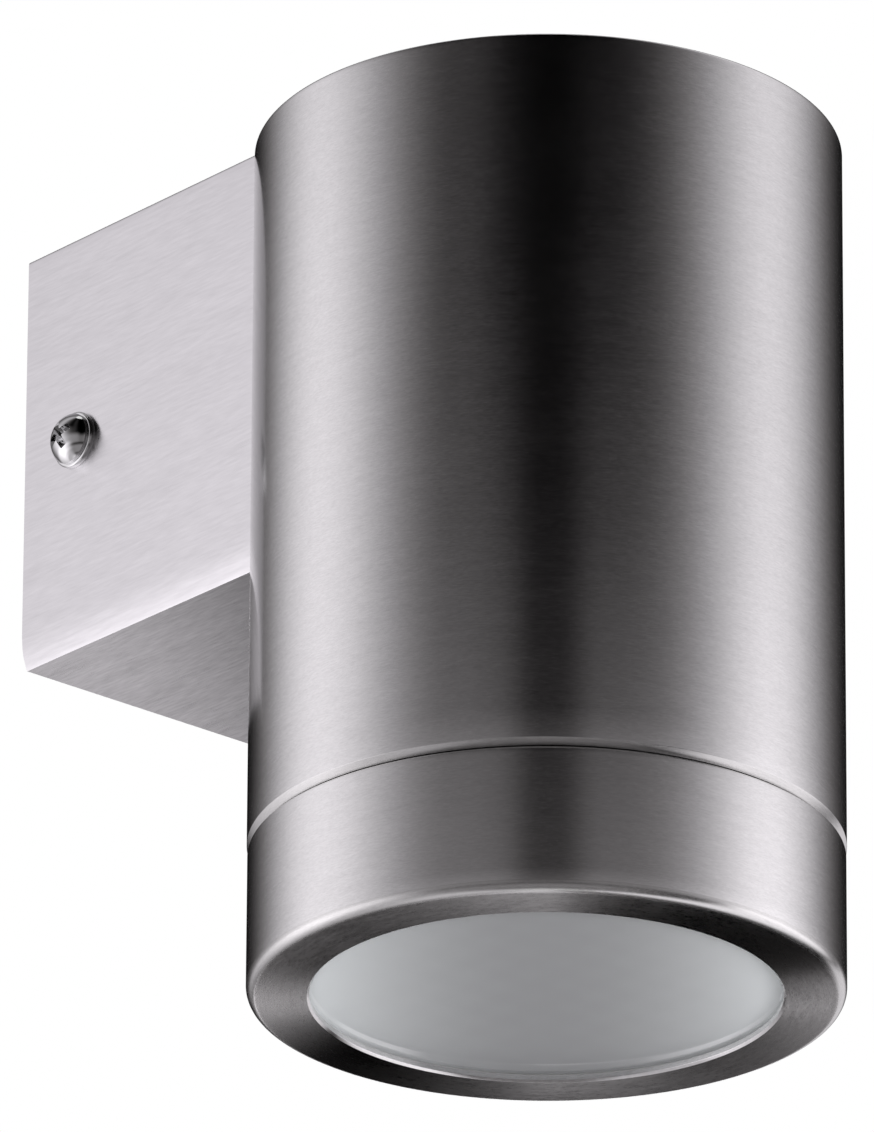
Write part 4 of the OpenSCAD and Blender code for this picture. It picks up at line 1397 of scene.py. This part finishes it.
@dataclass
class LensPack:
    """The glass with its etched back, and the seals on both sides of it.

    Attributes:
        edge: Ground chamfer round the glass.
        etch_depth: How far below the glass's back its etched layer lies.
        etch_thickness: Thickness of that layer.
        etch_margin: Clear width round it.
        gasket_width: Width that the upper seal covers of the glass.
        gasket_edge: Rounding of the upper seal's edges.
        seat_bore: Inner radius of the lower seal.
        seat_edge: Rounding of the lower seal's edges.
    """

    edge: float = 0.35 * MM
    etch_depth: float = 0.08 * MM
    etch_thickness: float = 0.05 * MM
    etch_margin: float = 0.5 * MM
    gasket_width: float = 3 * MM
    gasket_edge: float = 0.3 * MM
    seat_bore: float = 30.5 * MM
    seat_edge: float = 0.1 * MM

    def __post_init__(self) -> None:
        """Reads the glass's sizes from the frame."""
        self.glass = Span.of("lens_glass")
        self.radius = self.glass.radius()

    def build_glass(self) -> None:
        """Builds the clear disc and the etched layer at its back."""
        low, high = self.glass.low.z, self.glass.high.z
        outline = fillet([(0, low), (self.radius - self.edge, low), (self.radius, low + self.edge),
                          (self.radius, high - self.edge), (self.radius - self.edge, high), (0, high)])
        Piece("lens_disc", "glass_carrier", ("lens_glass",), "satin_glass", FINISHES.clear_glass).spin(outline)
        top = high - self.etch_depth
        foot = top - self.etch_thickness
        reach = self.radius - self.etch_margin
        etched = Piece("lens_etched_back", "glass_carrier", (), "satin_glass", FINISHES.satin_face)
        etched.spin([(0, foot), (reach, foot), (reach, top), (0, top)])

    def build_seal(self, name: str, node: str, inner: float, round_edge: float) -> None:
        """Builds one flat seal.

        Args:
            name: The piece's name.
            node: The CAD node that it stands for.
            inner: The seal's inner radius.
            round_edge: Rounding of its edges.
        """
        span = Span.of(node)
        outer, low, high = span.radius(), span.low.z, span.high.z
        corners = ((inner, low), (outer, low), (outer, high), (inner, high))
        piece = Piece(name, "glass_carrier", (node,), "white_rubber", FINISHES.white_rubber)
        piece.spin(fillet([(*corner, round_edge) for corner in corners]))

    def build(self) -> None:
        """Builds the glass and both seals."""
        self.build_glass()
        self.build_seal("lens_gasket_ring", "lens_gasket", self.radius - self.gasket_width, self.gasket_edge)
        self.build_seal("seat_seal_ring", "seat_seal", self.seat_bore, self.seat_edge)


@dataclass
class ThreadSleeve:
    """The sleeve in the tube's foot that carries the ring's thread, with its round seal.

    Attributes:
        thread_radius: Radius of the thread's crests.
        core: Radius below the thread.
        bore: Radius of the sleeve's inside.
        bore_edge: Rounding of both ends of that bore.
        pitch: The thread's pitch.
        depth: Depth of the thread.
        chamfer: Chamfer at the thread's start.
        lead_in: Height from that chamfer to the thread.
        run_out: Height from the thread to the seal's groove.
        groove_room: How far the seal's groove reaches below the seal.
        groove_edge: Rounding of the groove's edge.
        top_edge: Rounding of the upper outer edge.
        seal_sides: The number of sides of the seal's section.
    """

    thread_radius: float = 35.0 * MM
    core: float = 34.1 * MM
    bore: float = 32.8 * MM
    bore_edge: float = 0.2 * MM
    pitch: float = 1.5 * MM
    depth: float = 0.7 * MM
    chamfer: float = 0.6 * MM
    lead_in: float = 0.2 * MM
    run_out: float = 0.1 * MM
    groove_room: float = 0.4 * MM
    groove_edge: float = 0.05 * MM
    top_edge: float = 0.3 * MM
    seal_sides: int = 20

    def __post_init__(self) -> None:
        """Reads the sleeve's and the seal's sizes from the frame."""
        sleeve = Span.of("thread_sleeve")
        self.low, self.high = sleeve.low.z, sleeve.high.z
        self.grip = sleeve.radius()
        self.seam = Span.of("tube").low.z
        self.seal = Span.of("o_ring")

    def build_sleeve(self) -> None:
        """Builds the sleeve with its outside thread."""
        groove = self.seal.low.z - self.groove_room
        thread = Thread(self.thread_radius, -self.depth, self.pitch, self.low + self.chamfer + self.lead_in,
                        groove - self.run_out)
        crest = [(self.thread_radius, z) for z in thread.heights()]
        outline = fillet([
            (self.bore, self.low, self.bore_edge), (self.thread_radius - self.chamfer, self.low),
            (self.thread_radius, self.low + self.chamfer), *crest, (self.thread_radius, groove, self.groove_edge),
            (self.core, groove), (self.core, self.seam), (self.grip, self.seam),
            (self.grip, self.high, self.top_edge), (self.bore, self.high, self.bore_edge)])
        piece = Piece("foot_sleeve", "body", ("thread_sleeve",), "turned_steel", FINISHES.turned_steel)
        piece.spin(outline, thread.wave)

    def build_seal(self) -> None:
        """Builds the round seal at the seam."""
        section = self.seal.size.z / 2
        middle, height = self.seal.radius() - section, self.seal.centre.z
        turns = [FULL_TURN * k / self.seal_sides for k in range(self.seal_sides)]
        outline = [(middle + section * math.cos(turn), height + section * math.sin(turn)) for turn in turns]
        Piece("seam_seal", "body", ("o_ring",), "black_rubber", FINISHES.black_rubber).spin(outline)

    def build(self) -> None:
        """Builds the sleeve and its seal."""
        self.build_sleeve()
        self.build_seal()


@dataclass
class SideScrew:
    """A domed cross-recess screw in the arm's side, with its washer.

    Attributes:
        side: The arm's side that it goes into.
        shank: Radius of its thread.
        pitch: The thread's pitch.
        thread_depth: Depth of the thread.
        neck: Plain height under the head.
        tip: Chamfer at the screw's end.
        lead_in: Height from the screw's end to the thread.
        head_height: Height of the head over the washer.
        head_edge: Rounding of the head's lower edge.
        head_room: Distance of the shank's last row of points from the head.
        rim: Height of the head's straight rim.
        rim_edge: Rounding between the rim and the dome.
        dome_steps: The number of stretches from rim to crown.
        wing: Width of the cross recess's wings.
        wing_taper: Share of that width that narrows as the whole recess does.
        span: Width of the whole recess at its mouth.
        recess_depth: Depth of the recess.
        recess_turn: Turn of the recess, in degrees.
        floor_share: Width of the recess at its floor, as a share of that at its mouth.
        cutter_share: The same for its cutter's upper end.
        cutter_rise: How far that end stands over the head.
        washer_room: Room between thread and washer.
        washer_edge: Rounding of the washer's edges.
        washer_brim: Rounding of its outer upper edge.
    """

    side: Side
    shank: float = 2.0 * MM
    pitch: float = 0.7 * MM
    thread_depth: float = 0.3 * MM
    neck: float = 0.7 * MM
    tip: float = 0.45 * MM
    lead_in: float = 0.5 * MM
    head_height: float = 2.5 * MM
    head_edge: float = 0.15 * MM
    head_room: float = 0.05 * MM
    rim: float = 0.5 * MM
    rim_edge: float = 0.1 * MM
    dome_steps: int = 14
    wing: float = 1.15 * MM
    wing_taper: float = 0.25
    span: float = 4.6 * MM
    recess_depth: float = 1.9 * MM
    recess_turn: float = 24.0
    floor_share: float = 0.42
    cutter_share: float = 1.12
    cutter_rise: float = 0.4 * MM
    washer_room: float = 0.15 * MM
    washer_edge: float = 0.08 * MM
    washer_brim: float = 0.3 * MM

    def __post_init__(self) -> None:
        """Reads the screw's and the washer's sizes from the frame."""
        self.word = self.side.name.lower()
        self.screw = Span.of(f"{self.word}_screw")
        self.washer = Span.of(f"{self.word}_washer")
        self.head_radius = self.screw.radius(0)
        sign = self.side.value
        self.length = self.screw.size.x - self.head_height
        seat = max(sign * self.washer.low.x, sign * self.washer.high.x)
        turn = Matrix.Rotation(sign * math.pi / 2, 4, "Y")
        self.place = Matrix.Translation((sign * seat, self.screw.centre.y, self.screw.centre.z)) @ turn

    def head_outline(self) -> Profile:
        """The outline of the head's dome, from its rim to its crown."""
        rise = self.head_height - self.rim
        crown = (self.head_radius ** 2 + rise ** 2) / (2 * rise)
        sweep = math.asin(self.head_radius / crown)
        turns = [sweep * (1 - k / self.dome_steps) for k in range(self.dome_steps + 1)]
        return [(crown * math.sin(turn), self.rim + crown * math.cos(turn) - (crown - rise)) for turn in turns]

    def recess(self) -> bmesh.types.BMesh:
        """The tapered cross that is cut into the head.

        Returns:
            The cutter's mesh, in the screw's place.
        """
        mesh = bmesh.new()
        mouth, floor = self.head_height + self.cutter_rise, self.head_height - self.recess_depth
        loops = []
        for height, share in ((floor, self.floor_share), (mouth, self.cutter_share)):
            w, s = self.wing / 2 * (1 - self.wing_taper + self.wing_taper * share), self.span / 2 * share
            cross = [(s, -w), (s, w), (w, w), (w, s), (-w, s), (-w, w), (-s, w), (-s, -w), (-w, -w), (-w, -s),
                     (w, -s), (w, -w)]
            loops.append([mesh.verts.new((x, y, height)) for x, y in cross])
        low, high = loops
        count = len(low)
        for k in range(count):
            n = (k + 1) % count
            mesh.faces.new((low[k], low[n], high[n], high[k]))
        mesh.faces.new(low[::-1])
        mesh.faces.new(high)
        mesh.transform(Matrix.Rotation(math.radians(self.recess_turn), 4, "Z"))
        mesh.transform(self.place)
        return mesh

    def spin(self, piece: Piece, outline: Profile, wave: Wave | None = None) -> bpy.types.Object:
        """Makes a piece by spinning an outline round the screw's axis.

        Args:
            piece: What the piece needs.
            outline: The outline's points, as radius and height over the washer.
            wave: Gives how far a point stands out, from its radius, height and angle.

        Returns:
            The finished object.
        """
        mesh = revolve(outline, SCREW_SEGMENTS, wave)
        mesh.transform(self.place)
        return piece.put(mesh)

    def build_screw(self) -> None:
        """Builds the screw."""
        end = -self.length
        thread = Thread(self.shank, -self.thread_depth, self.pitch, end + self.lead_in, -self.neck)
        crest = [(self.shank, z) for z in thread.heights()]
        under = [(self.shank, -self.head_room), (self.head_radius, 0, self.head_edge),
                 (self.head_radius, self.rim, self.rim_edge)]
        outline = fillet([(0, end), (self.shank - self.tip, end), (self.shank, end + self.tip), *crest, *under,
                          *self.head_outline()[1:]])
        piece = Piece(f"{self.word}_side_screw_steel", f"{self.word}_side_screw", (f"{self.word}_screw",),
                      "polished_steel", FINISHES.polished_steel)
        cut(self.spin(piece, outline, thread.wave), [self.recess()])

    def build_washer(self) -> None:
        """Builds the washer."""
        inner, outer, foot = self.shank + self.washer_room, self.washer.radius(0), -self.washer.size.x
        outline = fillet([(inner, foot, self.washer_edge), (outer, foot, self.washer_edge),
                          (outer, 0, self.washer_brim), (inner, 0, self.washer_edge)])
        piece = Piece(f"{self.word}_washer_steel", f"{self.word}_washer_carrier", (f"{self.word}_washer",),
                      "polished_steel", FINISHES.polished_steel)
        self.spin(piece, outline)

    def build(self) -> None:
        """Builds the screw and the washer."""
        self.build_screw()
        self.build_washer()


@dataclass(frozen=True)
class CarriedPart:
    """A piece that keeps the shape of its CAD node, with eased edges and a real finish.

    Attributes:
        node: The CAD node.
        name: The piece's own name.
        slot: Name of the slot for its finish, handed on to its piece.
        finish: Its finish.
        edge: Width of its eased edges.
    """

    node: str
    name: str
    slot: str
    finish: Finish
    edge: float


@dataclass
class CarriedGroup:
    """A sub-assembly of such pieces.

    Attributes:
        body: The CAD body that they move with.
        parts: The pieces.
    """

    body: str = "body"
    parts: tuple[CarriedPart, ...] = ()

    def build(self) -> None:
        """Builds every piece of the group."""
        for part in self.parts:
            Piece(part.name, self.body, (part.node,), part.slot, part.finish).refine(part.edge)


@dataclass
class WallFixing(CarriedGroup):
    """The bracket on the wall with its nuts, pad and cable grommet, and the leads' grommet in the tube."""

    parts: tuple[CarriedPart, ...] = (
        CarriedPart("wall_bracket", "bracket_plate", "plated_steel", FINISHES.plated_steel, 0.2 * MM),
        CarriedPart("clinch_nuts", "bracket_nuts", "plated_steel", FINISHES.plated_steel, 0.15 * MM),
        CarriedPart("wall_pad", "bracket_pad", "black_rubber", FINISHES.foam, 0.3 * MM),
        CarriedPart("entry_grommet", "cable_grommet", "black_rubber", FINISHES.black_rubber, 0.3 * MM),
        CarriedPart("tube_grommet", "lead_grommet", "black_rubber", FINISHES.black_rubber, 0.3 * MM),
    )


@dataclass
class Wiring(CarriedGroup):
    """The terminal block, its metal parts, the three leads and the earth connection."""

    parts: tuple[CarriedPart, ...] = (
        CarriedPart("terminal_block", "terminal_housing", "white_plastic", FINISHES.white_plastic, 0.25 * MM),
        CarriedPart("terminal_inserts", "terminal_barrels", "brass", FINISHES.brass, 0.1 * MM),
        CarriedPart("terminal_screws", "terminal_clamp_screws", "plated_steel", FINISHES.plated_steel, 0.08 * MM),
        CarriedPart("terminal_fixings", "terminal_mount_screws", "plated_steel", FINISHES.plated_steel, 0.1 * MM),
        CarriedPart("live_wire", "lead_live", "brown_wire", FINISHES.brown_cover, 0),
        CarriedPart("neutral_wire", "lead_neutral", "blue_wire", FINISHES.blue_cover, 0),
        CarriedPart("earth_wire", "lead_earth", "earth_wire", FINISHES.earth_cover, 0),
        CarriedPart("earth_tag", "earth_ring_tag", "plated_steel", FINISHES.plated_steel, 0.08 * MM),
        CarriedPart("earth_screw", "earth_clamp_screw", "brass", FINISHES.brass, 0.1 * MM),
    )


@dataclass
class LampCarrier(CarriedGroup):
    """The strap under the top disc, with the lampholder and their fixings."""

    parts: tuple[CarriedPart, ...] = (
        CarriedPart("holder_strap", "holder_strap_plate", "plated_steel", FINISHES.plated_steel, 0.15 * MM),
        CarriedPart("cap_studs", "disc_studs", "plated_steel", FINISHES.plated_steel, 0.2 * MM),
        CarriedPart("stud_nuts", "disc_stud_nuts", "plated_steel", FINISHES.plated_steel, 0.2 * MM),
        CarriedPart("lampholder", "holder_ceramic", "ceramic", FINISHES.ceramic, 0.35 * MM),
        CarriedPart("holder_contacts", "holder_contact_leaves", "brass", FINISHES.brass, 0.1 * MM),
        CarriedPart("holder_screws", "holder_fixing_screws", "plated_steel", FINISHES.plated_steel, 0.15 * MM),
        CarriedPart("holder_nuts", "holder_fixing_nuts", "plated_steel", FINISHES.plated_steel, 0.15 * MM),
    )


@dataclass
class SpotLamp(CarriedGroup):
    """The spot lamp, which turns in its holder."""

    body: str = "lamp"
    parts: tuple[CarriedPart, ...] = (
        CarriedPart("lamp_body", "lamp_casing", "white_plastic", FINISHES.white_plastic, 0.4 * MM),
        CarriedPart("lamp_base", "lamp_plug_base", "ceramic", FINISHES.ceramic, 0.5 * MM),
        CarriedPart("lamp_pins", "lamp_contact_pins", "pin_steel", FINISHES.pin_steel, 0.3 * MM),
        CarriedPart("lamp_board", "lamp_emitter_board", "white_plastic", FINISHES.white_plastic, 0.1 * MM),
        CarriedPart("lamp_cover", "lamp_front_cover", "clear_plastic", FINISHES.clear_plastic, 0.25 * MM),
    )


# The studio

def hump(bench: NodeBench, azimuth: bpy.types.NodeSocket, middle: float, width: float,
         edge: float) -> bpy.types.NodeSocket:
    """Builds a soft hump over the azimuth, 1 in its middle.

    Args:
        bench: The cloth's material.
        azimuth: The azimuth in degrees.
        middle: Where the hump is highest.
        width: How wide it is to each side.
        edge: How square its sides are.

    Returns:
        The hump's socket.
    """
    away = bench.math("ABSOLUTE", bench.math("WRAP", bench.math("SUBTRACT", azimuth, middle), 180.0, -180.0))
    share = bench.math("POWER", bench.math("DIVIDE", away, width), edge)
    return bench.math("EXPONENT", bench.math("MULTIPLY", share, -0.5))


@dataclass(frozen=True)
class TentPanel:
    """One lit panel of the light tent, with soft edges.

    Attributes:
        azimuth: Direction of its middle, in degrees from the camera's side, positive to the camera's right.
        width: How wide it is to each side of its middle, in degrees.
        edge: How square its sides are: 2 is a long soft fall, 6 a short one.
        level: Its brightness.
        bottom: Height of its lower edge, or None where it goes on down.
        top: Height of its upper edge, or None where it goes on up.
        bottom_soft: Height over which it fades at its lower edge.
        top_soft: Height over which it fades at its upper edge.
        slotted: Whether the dark slot at the camera crosses it.
    """

    azimuth: float
    width: float
    edge: float
    level: float
    bottom: float | None = None
    top: float | None = None
    bottom_soft: float = 0.1
    top_soft: float = 0.1
    slotted: bool = False

    def glow(self, bench: NodeBench, azimuth: bpy.types.NodeSocket, height: bpy.types.NodeSocket,
             spared: bpy.types.NodeSocket) -> bpy.types.NodeSocket:
        """Builds the panel's light on the tent.

        Args:
            bench: The cloth's material.
            azimuth: The azimuth in degrees.
            height: The height.
            spared: Share of the light that the dark slot leaves.

        Returns:
            The socket of its brightness.
        """
        light = bench.math("MULTIPLY", hump(bench, azimuth, self.azimuth, self.width, self.edge), self.level)
        for level, soft, ends in ((self.bottom, self.bottom_soft, (0, 1)), (self.top, self.top_soft, (1, 0))):
            if level is not None:
                fade = bench.remap(height, *ends, level - soft / 2, level + soft / 2, smooth=True)
                light = bench.math("MULTIPLY", light, fade)
        return bench.math("MULTIPLY", light, spared) if self.slotted else light


@dataclass
class LightTent:
    """A round tent of lit cloth about the light, which the steel mirrors.

    Attributes:
        camera_azimuth: Direction of the camera from the tube, in degrees from +X.
        radius: The tent's radius.
        low: Height of its lower rim.
        high: Height of its upper rim.
        steps: The number of its wall's flat faces.
        slot: Middle, width and edge of the dark slot in front of the camera, as a panel's.
        slot_low: Share of the light that the slot takes at its lower end.
        slot_rise: Heights between which the slot gets fully dark.
        warm: Tint of the dim cloth.
        cool: Tint of the bright cloth.
        tint_range: Brightness at which the cloth leaves the one tint and reaches the other.
        panels: The lit panels.
    """

    camera_azimuth: float
    radius: float = 0.42
    low: float = -3.1
    high: float = 2.4
    steps: int = 180
    slot: tuple[float, float, float] = (0.8, 10.4, 3.0)
    slot_low: float = 0.35
    slot_rise: tuple[float, float] = (-0.05, 0.15)
    warm: Colour = (1.0, 0.945, 0.96)
    cool: Colour = (0.995, 0.965, 1.0)
    tint_range: tuple[float, float] = (0.05, 0.4)
    panels: tuple[TentPanel, ...] = (
        TentPanel(-106.0, 19.2, 2, 0.510, bottom=-0.480, bottom_soft=0.15),
        TentPanel(-85.7, 21.1, 2, 0.64, bottom=-0.350, top=0.275, bottom_soft=0.15, top_soft=0.3),
        TentPanel(92.6, 22.0, 2, 0.903, bottom=-0.042),
        TentPanel(92.6, 22.1, 2, 0.621, bottom=-0.232, top=0.033, top_soft=0.3),
        TentPanel(0.3, 86.8, 6, 0.254, bottom=-0.183, top=0.078, top_soft=0.16, slotted=True),
        TentPanel(-28.6, 7.1, 2, 0.022, bottom=-0.100, slotted=True),
        TentPanel(154.1, 16.1, 6, 0.847, bottom=-0.261, top=-0.031, bottom_soft=0.08, top_soft=0.08),
        TentPanel(-167.3, 3.6, 6, 1.480, bottom=-0.260, top=-0.182, bottom_soft=0.08, top_soft=0.08),
        TentPanel(180.0, 8.9, 6, 1.831, bottom=-0.076, top=0.019, bottom_soft=0.08, top_soft=0.06),
        TentPanel(-176.3, 8.1, 6, 0.716, top=-0.453, top_soft=0.2),
        TentPanel(-1.9, 44.8, 6, 0.269, bottom=-0.775, top=-0.265, bottom_soft=0.3, top_soft=0.15),
        TentPanel(-104.3, 48.4, 6, 0.568, top=-0.108),
        TentPanel(98.7, 26.2, 6, 1.218, top=-0.105, top_soft=0.15),
        TentPanel(0.0, 999.0, 6, 0.204, top=-0.907, top_soft=0.4),
    )

    def wall(self) -> bpy.types.Object:
        """Builds the tent's wall, with its azimuth and height as texture coordinates.

        Returns:
            The wall.
        """
        mesh = bmesh.new()
        layer = mesh.loops.layers.uv.new("azimuth")
        columns = []
        for offset in ladder(-180, 180, 360 / self.steps):
            angle = math.radians(self.camera_azimuth + offset)
            x, y = self.radius * math.cos(angle), AXIS_Y + self.radius * math.sin(angle)
            columns.append((offset, [mesh.verts.new((x, y, z)) for z in (self.low, self.high)]))
        for (a, left), (b, right) in zip(columns, columns[1:]):
            face = mesh.faces.new((left[0], right[0], right[1], left[1]))
            for loop, offset in zip(face.loops, (a, b, b, a)):
                loop[layer].uv = (offset / 360, loop.vert.co.z)
        return add_solid("light_tent", mesh)

    def cloth(self) -> bpy.types.Material:
        """Builds the lit cloth.

        Returns:
            The material.
        """
        bench = NodeBench(bpy.data.materials.new("tent_cloth"))
        parts = bench.add("ShaderNodeSeparateXYZ", {"Vector": bench.add("ShaderNodeUVMap").outputs[0]})
        azimuth, height = bench.math("MULTIPLY", parts.outputs["X"], 360.0), parts.outputs["Y"]
        depth = bench.remap(height, self.slot_low, 1.0, *self.slot_rise, smooth=True)
        spared = bench.math("SUBTRACT", 1.0, bench.math("MULTIPLY", hump(bench, azimuth, *self.slot), depth))
        total = 0.0
        for panel in self.panels:
            total = bench.math("ADD", total, panel.glow(bench, azimuth, height, spared))
        tint = bench.tint(bench.remap(total, 0, 1, *self.tint_range), self.warm, self.cool)
        material = bench.close(bench.add("ShaderNodeEmission", {"Color": tint, "Strength": total}))
        material.cycles.emission_sampling = "NONE"
        return material

    def build(self) -> None:
        """Builds the tent as part of the stage, seen only in metal."""
        tent = self.wall()
        tent.data.materials.append(self.cloth())
        tent.visible_camera = False
        tent.visible_diffuse = False
        tent.visible_transmission = False
        tent.visible_shadow = False


@dataclass(frozen=True)
class SoftLamp:
    """A soft studio lamp.

    Attributes:
        name: Its name.
        place: Where it stands.
        size: Width of its square face.
        power: Its power in watts.
        target: What it points at.
    """

    name: str
    place: tuple[float, float, float]
    size: float
    power: float
    target: tuple[float, float, float] = (0.0, AXIS_Y, -0.03)

    def build(self) -> None:
        """Hangs the lamp."""
        data = bpy.data.lights.new(self.name, "AREA")
        data.shape = "SQUARE"
        data.size = self.size
        data.energy = self.power
        lamp = add_object(self.name, data)
        lamp.location = self.place
        toward = Vector(self.target) - Vector(self.place)
        lamp.rotation_euler = toward.to_track_quat("-Z", "Y").to_euler()
        lamp.visible_camera = False
        lamp.visible_glossy = False
        lamp.visible_transmission = False


@dataclass
class PhotoCamera:
    """The camera, at the photograph's viewing angle.

    Attributes:
        place: Where it stands.
        yaw: Its turn to the left, seen from above, in degrees from +Y.
        pitch: How far it looks up, in degrees.
        roll: Its turn about its own axis, in degrees.
        focal: Its focal length in pixels of the photograph.
        sensor: Height of its sensor, in mm.
        sight: How far it sees.
    """

    place: tuple[float, float, float] = (-1.0325, -1.2397, -0.6826)
    yaw: float = -40.929
    pitch: float = 22.753
    roll: float = 0.331
    focal: float = 13243.7
    sensor: float = 36.0
    sight: float = 50.0

    def azimuth(self) -> float:
        """Direction from the tube to the camera, in degrees from +X."""
        return math.degrees(math.atan2(self.place[1] - AXIS_Y, self.place[0]))

    def build(self) -> None:
        """Sets up the camera."""
        data = bpy.data.cameras.new("photo_camera")
        data.sensor_fit = "VERTICAL"
        data.sensor_height = self.sensor
        data.lens = self.focal * self.sensor / PHOTO_HEIGHT
        data.clip_end = self.sight
        camera = add_object("photo_camera", data)
        yaw, pitch, roll = (Matrix.Rotation(math.radians(angle), 4, axis)
                            for angle, axis in ((self.yaw, "Z"), (90 + self.pitch, "X"), (self.roll, "Z")))
        camera.matrix_world = Matrix.Translation(self.place) @ yaw @ pitch @ roll
        bpy.context.scene.camera = camera


@dataclass
class Studio:
    """The pale floor, the world, the tent and the lamps.

    Attributes:
        floor_z: Height of the floor.
        floor_size: Width of the floor.
        floor_steps: The number of its faces along each side.
        ambient: Brightness of the world for matt faces.
        lamps: The lamps.
    """

    floor_z: float = -3.2
    floor_size: float = 30.0
    floor_steps: int = 8
    ambient: float = 0.45
    lamps: tuple[SoftLamp, ...] = (
        SoftLamp("key_lamp", (-1.3, -0.4, 0.9), 0.9, 12.0),
        SoftLamp("fill_lamp", (1.2, -1.1, 0.4), 1.0, 8.5),
        SoftLamp("low_lamp", (-0.5, -0.9, -1.1), 0.8, 19.0),
    )

    def build_floor(self) -> None:
        """Lays the floor."""
        mesh = bmesh.new()
        bmesh.ops.create_grid(mesh, x_segments=self.floor_steps, y_segments=self.floor_steps,
                              size=self.floor_size / 2, matrix=Matrix.Translation((0, 0, self.floor_z)))
        floor = add_solid("floor", mesh)
        floor.data.materials.append(FINISHES.floor_paint.make())

    def build_world(self) -> None:
        """Makes the world white for the camera, metal and glass, and grey for matt faces."""
        world = bpy.data.worlds.new("studio")
        bpy.context.scene.world = world
        bench = NodeBench(world)
        level = bench.remap(bench.seen(), self.ambient, 1.0)
        bench.close(bench.add("ShaderNodeBackground", {"Color": (1, 1, 1, 1), "Strength": level}))
        world.cycles.sampling_method = "NONE"

    def build(self, camera: PhotoCamera) -> None:
        """Builds the whole studio.

        Args:
            camera: The camera that the tent's panels are set to.
        """
        self.build_floor()
        self.build_world()
        LightTent(camera.azimuth()).build()
        for lamp in self.lamps:
            lamp.build()
        bpy.context.scene.view_settings.view_transform = "Standard"


def main() -> None:
    """Builds the light's pieces in order, then the studio around them."""
    logging.basicConfig(level=logging.INFO, format="%(name)s: %(message)s")
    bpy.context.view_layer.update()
    camera = PhotoCamera()
    camera.build()
    groups = (TubeShell(), ArmShell(), BezelRing(), LensPack(), ThreadSleeve(), SideScrew(Side.LEFT),
              SideScrew(Side.RIGHT), WallFixing(), Wiring(), LampCarrier(), SpotLamp())
    for group in groups:
        group.build()
    Studio().build(camera)


if __name__ == "__main__":
    main()
